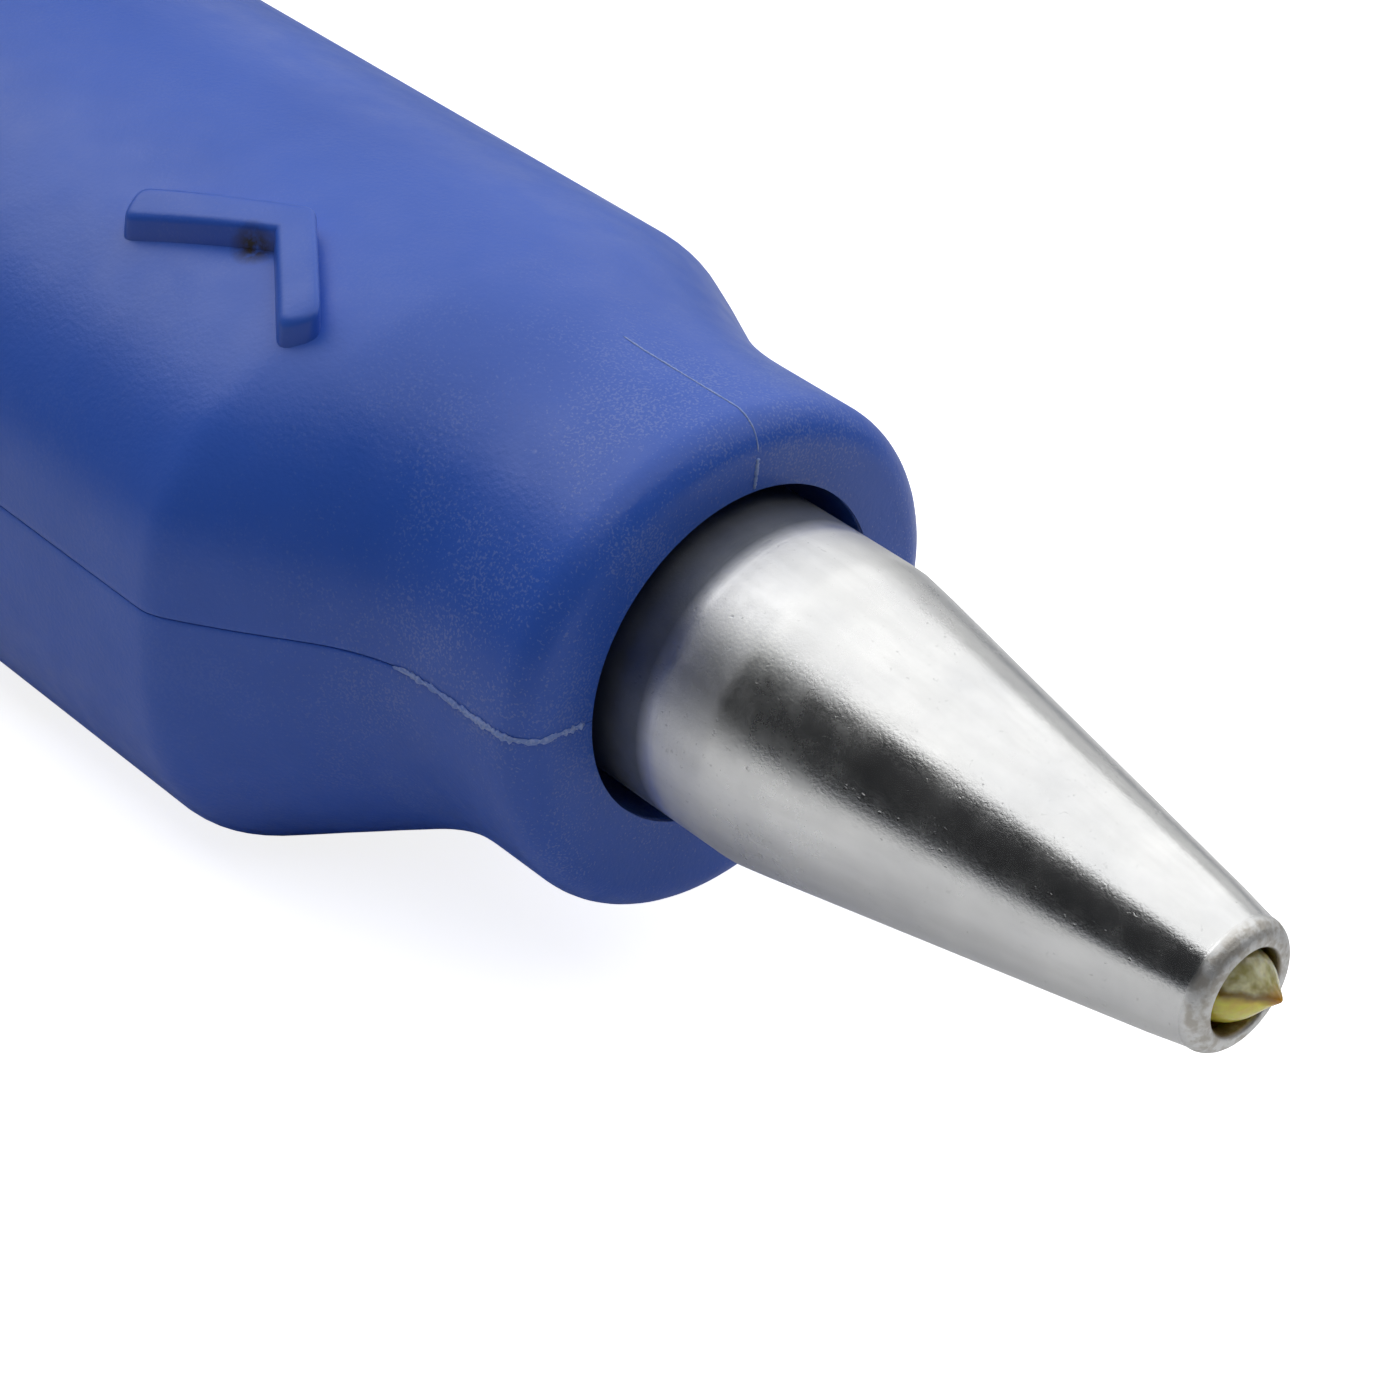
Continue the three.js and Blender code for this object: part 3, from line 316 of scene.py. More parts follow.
def group_tree(name, inputs, outputs):
    """A shader node group with named float inputs and outputs."""
    tree = bpy.data.node_groups.new(name, "ShaderNodeTree")
    for title, value in inputs.items():
        socket = tree.interface.new_socket(title, in_out="INPUT", socket_type="NodeSocketFloat")
        socket.default_value = value
    for title in outputs:
        tree.interface.new_socket(title, in_out="OUTPUT", socket_type="NodeSocketFloat")
    return tree, tree.nodes.new("NodeGroupInput"), tree.nodes.new("NodeGroupOutput")


def add_node(tree, kind, **values):
    """A node with its properties and unlinked sockets set by name."""
    made = tree.nodes.new("ShaderNode" + kind)
    for key, value in values.items():
        if hasattr(made, key):
            setattr(made, key, value)
        else:
            made.inputs[key.replace("_", " ")].default_value = value
    return made


def object_point(tree):
    return add_node(tree, "TexCoord").outputs["Object"]


def feed(tree, value, socket):
    """Links another socket's value in, or sets a number or a colour."""
    if isinstance(value, bpy.types.NodeSocket):
        tree.links.new(value, socket)
    else:
        socket.default_value = (*value, 1) if isinstance(value, tuple) else value


def ramp(tree, source, low, high, start=0.0, end=1.0):
    """Maps one range of a value to another, held at both ends."""
    made = add_node(tree, "MapRange", clamp=True)
    tree.links.new(source, made.inputs["Value"])
    for key, value in {"From Min": low, "From Max": high, "To Min": start, "To Max": end}.items():
        made.inputs[key].default_value = value
    return made.outputs["Result"]


def noise(tree, scale, detail=3.0, rough=0.5, stretch=None):
    made = add_node(tree, "TexNoise", Detail=detail, Roughness=rough)
    feed(tree, scale, made.inputs["Scale"])
    source = object_point(tree)
    if stretch:
        mapping = add_node(tree, "Mapping")
        mapping.inputs["Scale"].default_value = stretch
        tree.links.new(source, mapping.inputs["Vector"])
        source = mapping.outputs["Vector"]
    tree.links.new(source, made.inputs["Vector"])
    return made.outputs["Fac"]


def multiply(tree, first, second):
    made = add_node(tree, "Math", operation="MULTIPLY")
    tree.links.new(first, made.inputs[0])
    tree.links.new(second, made.inputs[1])
    return made.outputs[0]


def add_up(tree, first, second, share):
    """First plus a share of second."""
    made = add_node(tree, "Math", operation="MULTIPLY_ADD")
    tree.links.new(second, made.inputs[0])
    made.inputs[1].default_value = share
    tree.links.new(first, made.inputs[2])
    return made.outputs[0]


def along_axis(tree, start, end, low=0.0, high=1.0):
    """A ramp along the pen between two distances ahead of the collar's face."""
    parts = add_node(tree, "SeparateXYZ")
    tree.links.new(object_point(tree), parts.inputs[0])
    return ramp(tree, parts.outputs[0], FACE_X + start * MM, FACE_X + end * MM, low, high)


def distance_from(tree, centre, scale):
    """How far a point lies from a centre, with each direction scaled first."""
    mapping = add_node(tree, "Mapping")
    mapping.inputs["Location"].default_value = [-part for part in centre]
    mapping.inputs["Scale"].default_value = scale
    tree.links.new(object_point(tree), mapping.inputs["Vector"])
    away = add_node(tree, "VectorMath", operation="LENGTH")
    tree.links.new(mapping.outputs["Vector"], away.inputs[0])
    return away.outputs["Value"]


def make_speck_group():
    """Fine pale dust and scuffs: a mask of small spots that gathers in patches."""
    tree, given, result = group_tree("dust specks", {"Size": 12000.0, "Cover": 0.3}, ["Mask"])
    patches = multiply(tree, ramp(tree, noise(tree, 260, 3), 0.3, 0.75), given.outputs["Cover"])
    total = add_up(tree, noise(tree, given.outputs["Size"], 1.0), patches, 1.0)
    tree.links.new(ramp(tree, total, 0.72, 0.84), result.inputs["Mask"])
    return tree


def make_grain_group():
    """Spark-eroded mould texture: two sizes of fine bump."""
    tree, given, result = group_tree("mould grain", {"Size": 3000.0}, ["Height"])
    total = add_up(tree, noise(tree, given.outputs["Size"], 2.0), noise(tree, 420, 2), 2.5)
    tree.links.new(total, result.inputs["Height"])
    return tree


dust_specks = make_speck_group()
mould_grain = make_grain_group()


def new_material(name, **shader_values):
    material = bpy.data.materials.new(name)
    material.use_nodes = True
    shader = material.node_tree.nodes["Principled BSDF"]
    for key, value in shader_values.items():
        shader.inputs[key.replace("_", " ")].default_value = value
    return material, material.node_tree, shader


def use_group(tree, group, **values):
    made = tree.nodes.new("ShaderNodeGroup")
    made.node_tree = group
    for key, value in values.items():
        made.inputs[key].default_value = value
    return made.outputs[0]


def mix_colour(tree, factor, first, second):
    made = add_node(tree, "Mix", data_type="RGBA")
    tree.links.new(factor, made.inputs[0])
    feed(tree, first, made.inputs[6])
    feed(tree, second, made.inputs[7])
    return made.outputs[2]


def bump(tree, shader, height, distance, strength=1.0):
    made = add_node(tree, "Bump", Strength=strength, Distance=distance)
    tree.links.new(height, made.inputs["Height"])
    tree.links.new(made.outputs["Normal"], shader.inputs["Normal"])


def spot_mask(tree, point, radius):
    """A soft round patch about a point of the piece."""
    away = add_node(tree, "VectorMath", operation="DISTANCE")
    tree.links.new(object_point(tree), away.inputs[0])
    away.inputs[1].default_value = point
    return ramp(tree, away.outputs["Value"], radius * MM, radius * 0.3 * MM)


def moulded_plastic(name, deep, light, rough, speck, cover, dusty=None, blots_and_shade=()):
    """Moulded plastic: slow colour drift, dusty specks, uneven gloss and the mould's grain."""
    soft = {"Subsurface_Weight": 0.1, "Subsurface_Scale": 0.0005, "Subsurface_Radius": (0.5, 0.8, 1.0)}
    material, tree, shader = new_material(name, Specular_IOR_Level=0.42, **soft)
    body = mix_colour(tree, ramp(tree, noise(tree, 90, 3), 0.35, 0.65), deep, light)
    dust = use_group(tree, dust_specks, Size=11000.0, Cover=cover)
    faint = ramp(tree, dust, 0, 1, 0, 0.18)
    if dusty:
        faint = multiply(tree, faint, along_axis(tree, -dusty[1], -dusty[0], 0.15, 1))
    body = mix_colour(tree, faint, body, speck)
    # Listed spots blend a colour into soft patches: the pale ones are real nicks, the dark one is painted
    # shade.
    for point, radius, colour in blots_and_shade:
        blot_and_shade_mask = multiply(tree, spot_mask(tree, point, radius), ramp(tree, noise(tree, 3000, 3), 0.2, 0.5))
        body = mix_colour(tree, blot_and_shade_mask, body, colour)
    tree.links.new(body, shader.inputs["Base Color"])
    gloss = ramp(tree, noise(tree, 700, 3), 0.3, 0.7, rough - 0.05, rough + 0.06)
    tree.links.new(gloss, shader.inputs["Roughness"])
    bump(tree, shader, use_group(tree, mould_grain, Size=5200.0), 0.000012)
    return material


CHEVRON_EASE = 0.24
CHEVRON_DRAFT = 0.06
CHEVRON_SQUARE = 0.62
CHEVRON_ROOT = -0.7
ARM_STEPS = 24
CHEVRON = {"apex": (-17.7, -4.72), "width": 1.36, "proud": 0.9, "arms": ((206.5, 6.8), (324, 5.7))}
SEAM_NICKS = [((-4.6, -5.4, 7.2), 0.18), ((-9.2, -9.6, 5.2), 0.13)]
# Painted shade: a near-black spot in the mark's inner corner, where its raised arms meet the case.
corner_shade_point = place(CHEVRON["apex"][0] - 0.75, CHEVRON["apex"][1] - 1.05, 8.4)
blue_plastic = moulded_plastic(
    "case blue", (0.032, 0.110, 0.53), (0.040, 0.127, 0.59), rough=0.34,
    speck=(0.42, 0.5, 0.66), cover=0.3, dusty=(3, 13),
    blots_and_shade=[(corner_shade_point, 0.95, (0.02, 0.012, 0.01))]
    + [(place(*spot), radius, (0.62, 0.68, 0.78)) for spot, radius in SEAM_NICKS],
)

SCREW_Y = 7.9
SCREW_XS = (-27, -133)
BOSS_RADIUS = 2.7
BOSS_INSET = 0.4
BOSS_SPAN = (12, CASE_LENGTH - 0.5)
SCREW_SEAT = -6.5
SCREW_HEAD = 1.9
SHANK_HOLE = {"radius": 1.2, "bottom": -8, "top": 1}
FIT = 0.2
WITHIN = 5
BEYOND = 20
SKIN_SIDES = 96
screw_places = [(x, y) for x in SCREW_XS for y in (SCREW_Y, -SCREW_Y)]


def case_skin(grow, start, end, count):
    """A closed copy of the case's outside, grown or shrunk, between two stations."""
    angles = [2 * math.pi * i / SKIN_SIDES for i in range(SKIN_SIDES)]
    stations = [start] + spread(start, end, count)
    rings = [
        [(-b, -case_radius(b, a, grow) * math.sin(a), case_radius(b, a, grow) * math.cos(a)) for a in angles]
        for b in stations
    ]
    ends = [[(-b, 0, 0)] * len(angles) for b in (start, end)]
    return rolled([ends[0], *rings, ends[1]])


def bosses(low, high):
    columns = [tool(cylinder("z", BOSS_RADIUS, low, high, spot)) for spot in screw_places]
    first = columns.pop()
    boolean(first, columns, "UNION")
    boolean(first, [tool(case_skin(-BOSS_INSET, *BOSS_SPAN, 40))], "INTERSECT")
    return first


upper_shell = to_mesh(rolled([section(row, 1) for row in shell_rows()]), "upper_shell_skin")
lower_shell = to_mesh(rolled([section(row, -1) for row in shell_rows()]), "lower_shell_skin")
boolean(upper_shell, [bosses(PARTING_BODY + PARTING_GAP, BEYOND)], "UNION")
boolean(lower_shell, [bosses(-BEYOND, PARTING_BODY - PARTING_GAP)], "UNION")
screw_holes = [tool(cylinder("z", SCREW_HEAD + FIT, -BEYOND, SCREW_SEAT, spot)) for spot in screw_places]
for spot in screw_places:
    shank = cylinder("z", SHANK_HOLE["radius"], SHANK_HOLE["bottom"], SHANK_HOLE["top"], spot, 24)
    screw_holes.append(tool(shank))
boolean(lower_shell, screw_holes, "DIFFERENCE")

# Five slots on each side let the motor's warmth out.
VENT = {"count": 5, "first": -94, "pitch": 3.6, "width": 1.4, "height": 5.0, "z": -5.5, "reach": (9.5, 16)}
vents = []
for side in (-1, 1):
    for i in range(VENT["count"]):
        slot_tool = stadium(VENT["height"], VENT["width"], *VENT["reach"], 22)
        turned = Matrix.Rotation(-side * math.pi / 2, 4, "X") @ Matrix.Rotation(math.pi / 2, 4, "Z")
        spot = Matrix.Translation(place(VENT["first"] - i * VENT["pitch"], 0, VENT["z"]))
        bmesh.ops.transform(slot_tool, matrix=spot @ turned, verts=slot_tool.verts)
        vents.append(tool(slot_tool))
boolean(lower_shell, vents, "DIFFERENCE")

# Holes in the upper shell for the two buttons, the slider's track and slot, and the light pipe.
FEED = {"x": -48, "length": 14, "width": 8}
REVERSE = {"x": -63, "length": 8.0, "width": 7.99}
SLIDER_X = -102
LAMP_X = -117
LAMP_HOLE = 1.6
LIP = {"bottom": height_of("feed_button", 0), "thick": 0.8, "grow": 0.7}
TRACK = {"size": (17.0, 6.0), "slot": (11.6, 2.4), "floor": GRIP["top"] + BELLY_RISE - 0.7}
openings = []
for button in (FEED, REVERSE):
    x, length, width = button["x"], button["length"] + 2 * FIT, button["width"] + 2 * FIT
    grow = 2 * LIP["grow"]
    openings.append(tool(stadium_at(x, length, width, WITHIN, BEYOND)))
    openings.append(tool(stadium_at(x, length + grow, width + grow, 0, LIP["bottom"] + LIP["thick"] + 0.1)))
openings.append(tool(stadium_at(SLIDER_X, *TRACK["size"], TRACK["floor"], BEYOND)))
openings.append(tool(stadium_at(SLIDER_X, *TRACK["slot"], WITHIN, BEYOND)))
openings.append(tool(cylinder("z", LAMP_HOLE, WITHIN, BEYOND, (LAMP_X, 0))))
boolean(upper_shell, openings, "DIFFERENCE")


def top_at(x, y):
    size, _ = outline_at(-x)
    return size["top"] * math.sqrt(max(0.0, 1 - (abs(y) / size["half"]) ** 2))


def heading(turn):
    return Vector((math.cos(turn), math.sin(turn)))


def chevron_ring(radius, height):
    """One ring round the mark: a radius out from its arms' centre lines, at a height over the case."""
    apex = Vector(CHEVRON["apex"])
    ahead = [heading(math.radians(turn)) for turn, _ in CHEVRON["arms"]]
    spines = [reach - CHEVRON["width"] for _, reach in CHEVRON["arms"]]
    aside = [Vector((-step.y, step.x)) for step in ahead]
    inner = radius / math.tan(ahead[0].angle(ahead[1]) / 2)
    points = []
    for arm, side in ((0, 1), (1, -1)):
        far = [spines[arm] * i / ARM_STEPS for i in range(ARM_STEPS + 1)]
        beside = aside[arm] * side
        path = [apex + ahead[arm] * max(inner, along) + beside * radius for along in far]
        for i in range(1, ARM_STEPS):
            turn = math.pi * i / ARM_STEPS
            parts = (math.sin(turn), math.cos(turn))
            square = [math.copysign(abs(part) ** CHEVRON_SQUARE, part) * radius for part in parts]
            path.append(apex + ahead[arm] * (spines[arm] + square[0]) + beside * square[1])
        path += [apex + ahead[arm] * along - beside * radius for along in reversed(far)]
        points.append(path)
    first, last = (math.atan2(*(-aside[arm] * side).yx) for arm, side in ((0, 1), (1, -1)))
    sweep = (last - first + math.pi) % (2 * math.pi) - math.pi
    corner = [first + sweep * i / 10 for i in range(1, 10)]
    ring = points[0] + [apex + heading(turn) * radius for turn in corner] + points[1][::-1]
    return [(point.x, point.y, top_at(point.x, point.y) + height) for point in ring]


def raised_chevron():
    """The mark, which follows the case's curve, with its edges eased over."""
    half, proud = CHEVRON["width"] / 2, CHEVRON["proud"]
    rings = [chevron_ring(0, CHEVRON_ROOT), chevron_ring(half + CHEVRON_DRAFT, CHEVRON_ROOT)]
    rings += [chevron_ring(half - inset, proud - drop) for inset, drop in edge_round(CHEVRON_EASE, 6)]
    return rolled([*rings, chevron_ring((half - CHEVRON_EASE) / 2, proud), chevron_ring(0, proud)])


boolean(upper_shell, [tool(raised_chevron())], "UNION")
dress(upper_shell, blue_plastic, "case", ["upper_shell"])
dress(lower_shell, blue_plastic, "case", ["lower_shell"])

# ---------------------------------------------------------------- mould flash
# Where the mould halves met, a thin ragged skin of plastic squeezed out: along the parting line by the
# collar, and as a fine witness line over the collar's crown and face. Bent and scuffed, it looks paler.
random.seed(7)
flash_plastic = moulded_plastic(
    "flash blue", (0.17, 0.26, 0.62), (0.26, 0.36, 0.7), rough=0.5, speck=(0.75, 0.8, 0.9), cover=0.45
)


def flash_line(name, path, outward, width, ragged):
    """A thin tapering ridge along a path of millimetre points."""
    sections = []
    for i, point in enumerate(path):
        ahead = Vector(path[min(i + 1, len(path) - 1)]) - Vector(path[max(i - 1, 0)])
        out = Vector(outward[i]).normalized()
        across = ahead.cross(out).normalized()
        size = 0 if i in (0, len(path) - 1) else width / 2 * (1 + ragged * random.uniform(-1, 1))
        drift = across * (size * ragged * random.uniform(-0.6, 0.6))
        turns = [2 * math.pi * k / 8 for k in range(8)]
        middle = Vector(point) + drift
        sections.append([middle + (across * math.cos(t) + out * math.sin(t) * 0.8) * size for t in turns])
    made = to_mesh(rolled(sections), name)
    return dress(made, flash_plastic, "case", crease=70)


def seam_path(side, start):
    """Points and outward directions along one side's parting line, then across the collar's face."""
    path, outward = [], []
    for i in range(61):
        behind = start * (1 - i / 60) ** 1.3
        limit = parting_angle(lambda angle: case_radius(behind, angle), parting_at(behind))
        radius = case_radius(behind, limit)
        path.append((-behind, -side * radius * math.sin(limit), parting_at(behind)))
        outward.append((max(0.0, COLLAR_ROUND - behind) / COLLAR_ROUND, -side, 0))
    edge = abs(path[-1][1])
    for i in range(1, 21):
        path.append((0, -side * (edge + (BORE + 0.3 - edge) * i / 20), PARTING_NOSE))
        outward.append((1, 0, 0))
    return path, outward


flash_line("parting_flash_right", *seam_path(1, 6.2), width=0.21, ragged=0.5)
flash_line("parting_flash_left", *seam_path(-1, 5.4), width=0.15, ragged=0.42)
crown = [(-6.6 * (1 - i / 60) ** 1.2, 0) for i in range(61)]
crown_path = [(x, y, top_at(x, y)) for x, y in crown]
crown_out = [(max(0.0, COLLAR_ROUND + x) / COLLAR_ROUND, 0, 1) for x, _ in crown]
flash_line("crown_flash", crown_path, crown_out, width=0.07, ragged=0.3)
face_path = [(0, 0, COLLAR["top"] - COLLAR_ROUND - 0.05 * i) for i in range(24)]
flash_line("face_flash", face_path, [(1, 0, 0)] * len(face_path), width=0.13, ragged=0.35)

# ---------------------------------------------------------------- nozzle shroud
# A turned aluminium cone that guards the hot nozzle. Its flange is trapped behind the collar. Heat
# and handling have dulled it: fine turning marks, tiny pits and a broken-in rim at the 3 mm mouth.
SHROUD = {"radius": 5.53, "root": 2.0, "band": 4.5, "length": 22.1, "tip": 2.2}
SHROUD |= {"round": 0.62, "lip": 0.16, "hole": 1.48, "wall": 0.95, "soft": 0.5}
FLANGE = {"back": -6.2, "front": -4.2, "radius": 6.93}


def cone_radius(x):
    share = (x - SHROUD["band"]) / (SHROUD["length"] - SHROUD["band"])
    return SHROUD["radius"] + (SHROUD["tip"] - SHROUD["radius"]) * share


def rim_points():
    """The rolled-over mouth: out round the edge of the cone, over the face and into the hole."""
    edge, end = SHROUD["round"], SHROUD["length"]
    centre = (end - edge, cone_radius(end) - edge + 0.1)
    turns = [math.radians(-8 + 98 * i / 10) for i in range(11)]
    points = [(centre[0] + edge * math.sin(turn), centre[1] + edge * math.cos(turn)) for turn in turns]
    return points + [(end - inset, SHROUD["hole"] + drop) for inset, drop in edge_round(SHROUD["lip"], 5)]


def shroud_points():
    """The closed profile: flange, straight band, softened break, cone, rim and hole."""
    inner = SHROUD["radius"] - SHROUD["wall"]
    band, past_band = SHROUD["band"], SHROUD["band"] + SHROUD["soft"]
    points = [(FLANGE["back"], inner)] + [(FLANGE[end], FLANGE["radius"]) for end in ("back", "front")]
    points += [(FLANGE["front"], SHROUD["radius"]), (band - SHROUD["soft"], SHROUD["radius"])]
    points += [(band, SHROUD["radius"] - 0.02), (past_band, cone_radius(past_band) - 0.01)]
    stations = [band + 1.2 + 1.3 * i for i in range(12)]
    points += [(x, cone_radius(x)) for x in stations if x < SHROUD["length"] - 1.2]
    return points + rim_points() + [(SHROUD["length"] - 1.6, SHROUD["hole"]), (band, inner)]


def spin_profile(points, segments):
    """A turned piece: the closed profile of (distance along X, radius) spun about the nozzle axis."""
    bm = bmesh.new()
    verts = [bm.verts.new(place(x, 0, radius)) for x, radius in points]
    edges = [bm.edges.new((a, b)) for a, b in zip(verts, verts[1:] + verts[:1])]
    axle = {"cent": place(0, 0, 0), "axis": (1, 0, 0)}
    bmesh.ops.spin(bm, geom=verts + edges, angle=2 * math.pi, steps=segments, use_merge=True, **axle)
    bmesh.ops.remove_doubles(bm, verts=bm.verts, dist=1e-7)
    bmesh.ops.dissolve_degenerate(bm, edges=bm.edges, dist=1e-8)
    bmesh.ops.recalc_face_normals(bm, faces=bm.faces)
    return bm


def make_shroud_metal():
    """Handled aluminium: streaks, grain and pits, a rougher root painted dark as the collar's reflection, a
    satin band, a matt rim, and painted shade in the hole.
    """
    material, tree, shader = new_material("shroud aluminium", Metallic=1.0)
    band, end, mouth = SHROUD["band"], SHROUD["length"], SHROUD["hole"] * MM
    cloud = noise(tree, 260, 4, 0.6)
    body = mix_colour(tree, ramp(tree, cloud, 0.35, 0.7), (0.84, 0.84, 0.83), (0.70, 0.705, 0.71))
    streaks = ramp(tree, noise(tree, 1, 3, 0.55, stretch=(160, 1500, 1500)), 0.35, 0.65)
    body = mix_colour(tree, ramp(tree, streaks, 0, 1, 0, 0.3), body, (0.62, 0.62, 0.61))
    pits = ramp(tree, noise(tree, 4600, 2, 0.6), 0.66, 0.76)
    pits = multiply(tree, pits, ramp(tree, noise(tree, 240, 2), 0.4, 0.62))
    body = mix_colour(tree, ramp(tree, pits, 0, 1, 0, 0.5), body, (0.4, 0.4, 0.4))
    # Painted reflection: a bluish dark ring at the root stands for the collar and the dark room mirrored
    # there.
    root = ramp(tree, cloud, 0, 1, 0.75, 1.0)
    root = multiply(tree, root, along_axis(tree, SHROUD["root"], SHROUD["root"] - 0.65))
    body = mix_colour(tree, root, body, (0.13, 0.145, 0.17))
    # Painted shade: the wall of the hole is darkened brown where shade falls inside it.
    off_axis = distance_from(tree, (0, 0, AXIS_Z), (0, 1, 1))
    hole_shade = ramp(tree, off_axis, mouth + 0.1 * MM, mouth + 0.02 * MM, 0, 0.9)
    body = mix_colour(tree, hole_shade, body, (0.16, 0.11, 0.07))
    rim = along_axis(tree, end - 0.65, end - 0.35)
    stain = multiply(tree, rim, ramp(tree, noise(tree, 2200, 3, 0.6), 0.42, 0.6, 0, 0.6))
    body = mix_colour(tree, stain, body, (0.42, 0.38, 0.32))
    tree.links.new(body, shader.inputs["Base Color"])
    grain = noise(tree, 9000, 3, 0.6)
    rough = add_up(tree, ramp(tree, noise(tree, 900, 4, 0.65), 0.3, 0.7, 0.13, 0.24), grain, 0.08)
    rough = add_up(tree, rough, rim, 0.3)
    satin = along_axis(tree, SHROUD["root"] - 0.1, SHROUD["root"] + 0.3)
    satin = multiply(tree, satin, along_axis(tree, band + 0.1, band - 0.3))
    rough = add_up(tree, rough, satin, 0.13)
    rough = add_up(tree, rough, along_axis(tree, band + 5, band), 0.1)
    tree.links.new(add_up(tree, rough, root, 0.2), shader.inputs["Roughness"])
    rings = noise(tree, 1, 2, 0.5, stretch=(9000, 200, 200))
    rings = multiply(tree, rings, along_axis(tree, 14, 20, 0.5, 2.2))
    height = add_up(tree, rings, pits, -0.9)
    height = add_up(tree, height, multiply(tree, grain, along_axis(tree, end - 0.8, end - 0.3, 1.0, 2.0)), 1.0)
    height = add_up(tree, height, multiply(tree, noise(tree, 2600, 4, 0.7), rim), 6.0)
    bump(tree, shader, height, 0.000006)
    return material


shroud_metal = make_shroud_metal()
shroud = to_mesh(spin_profile(shroud_points(), 192), "shroud_cone")
dress(shroud, shroud_metal, "case", ["nozzle_shroud"], crease=28)

# ---------------------------------------------------------------- nozzle and plastic bead
# The brass nozzle sits back inside the shroud. Amber filament left over from the last use has set
# over its orifice as a glassy point that reads yellow and olive, scorched brown at the very tip.
BEAD_TIP = (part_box("plastic_bead")[1][0] - FACE_X) / MM
BEAD_PROFILE = [
    (3.0, 0.0), (3.0, 1.05), (2.7, 1.26), (2.3, 1.36), (1.9, 1.39), (1.6, 1.39), (1.35, 1.34), (1.1, 1.23),
    (0.9, 1.07), (0.72, 0.88), (0.56, 0.68), (0.42, 0.49), (0.3, 0.35), (0.18, 0.23), (0.08, 0.13),
    (0.02, 0.06), (0.0, 0.0),
]
BEAD_LEAN = (0.62, -0.05)
BEAD_LOBE = 0.05
BEAD_TWIST = 0.4
BEAD_CREASE = 0.2
BEAD_SAG = 2.2


def sagged_bead():
    """The drop, pulled to one side as it set and folded into two lobes."""
    bm = spin_profile([(BEAD_TIP - back, radius) for back, radius in BEAD_PROFILE], 96)
    for vert in bm.verts:
        ahead = ease((vert.co.x - FACE_X) / MM, (BEAD_TIP - BEAD_SAG, BEAD_TIP))
        y, z = vert.co.y, vert.co.z - AXIS_Z
        turn = math.atan2(z, y) + BEAD_TWIST * ahead
        folds = 1 + BEAD_LOBE * math.sin(2 * turn + 2.2) * math.sin(math.pi * min(1.0, ahead * 1.4))
        crease = math.exp(-((math.sin(turn / 2 - 1.45) / 0.13) ** 2))
        folds -= BEAD_CREASE * crease * ease(ahead, (0, 0.3)) * (1 - ahead)
        vert.co.y = y * folds + BEAD_LEAN[0] * MM * ahead * ahead
        vert.co.z = AXIS_Z + z * folds + BEAD_LEAN[1] * MM * ahead
    return bm


def make_amber():
    """Set filament, glossy, with a scorched point; its lobes are painted light: a bright lower lobe for light
    passing through, pale highlight streaks on the olive upper lobe, and painted shade in the fold.
    """
    soft = {"Subsurface_Weight": 0.75, "Subsurface_Scale": 0.0018, "Subsurface_Radius": (1.0, 0.8, 0.25)}
    material, tree, shader = new_material("set filament", Roughness=0.14, Coat_Weight=0.5, **soft)
    streaks = ramp(tree, noise(tree, 1, 2, 0.5, stretch=(260, 2600, 2600)), 0.35, 0.65)
    # Painted light: the lower lobe is bright yellow for light shining through it; the upper lobe is olive with
    # pale streaks of painted highlight.
    lower = mix_colour(tree, streaks, (1.0, 0.86, 0.1), (0.95, 0.7, 0.1))
    upper = mix_colour(tree, streaks, (0.44, 0.4, 0.17), (0.86, 0.84, 0.56))
    across = add_node(tree, "VectorMath", operation="DOT_PRODUCT")
    tree.links.new(object_point(tree), across.inputs[0])
    across.inputs[1].default_value = (0, 0.21, 1)
    height = add_up(tree, across.outputs["Value"], noise(tree, 1500, 2), 0.0004)
    crease = AXIS_Z + 0.28 * MM
    body = mix_colour(tree, ramp(tree, height, crease - 0.1 * MM, crease + 0.1 * MM), lower, upper)
    # Painted shade: a dark brown line along the fold between the two lobes.
    near = ramp(tree, height, crease - 0.3 * MM, crease - 0.04 * MM)
    fold_shade = multiply(tree, near, ramp(tree, height, crease + 0.22 * MM, crease + 0.02 * MM))
    body = mix_colour(tree, ramp(tree, fold_shade, 0, 1, 0, 0.85), body, (0.2, 0.11, 0.02))
    tip = along_axis(tree, BEAD_TIP - 0.4, BEAD_TIP)
    tree.links.new(mix_colour(tree, tip, body, (0.42, 0.2, 0.03)), shader.inputs["Base Color"])
    bump(tree, shader, noise(tree, 1, 2, 0.5, stretch=(400, 2600, 2600)), 0.00006)
    return material


amber = make_amber()
bead = to_mesh(sagged_bead(), "set_filament_point")
dress(bead, amber, "case", ["plastic_bead"], crease=50)

# ---------------------------------------------------------------- rear cap
# A moulded cap in the same blue plugs the open end of the shells. Its spigot slides inside them, and
# it carries the power socket's round window and the filament inlet.
CAP = {"gap": 0.1, "thick": 4.0, "round": 2.2, "spigot": 3.0, "fit": 2.2, "wall": 1.4, "lap": 0.6}
CAP_FRONT = -(CASE_LENGTH + CAP["gap"])
CAP_BACK = CAP_FRONT - CAP["thick"]
CAP_CHAMFER = 0.12
CAP_SIDES = 120
SOCKET = {"window": 3.2, "barrel": 2.9, "pin": 1.0, "width": 9.0, "height": 7.6, "length": 11.0}
SOCKET["z"] = (height_of("power_socket", 0) + height_of("power_socket", 1)) / 2
INLET = {"radius": 2.2, "flange": 3.2, "hole": 0.98}


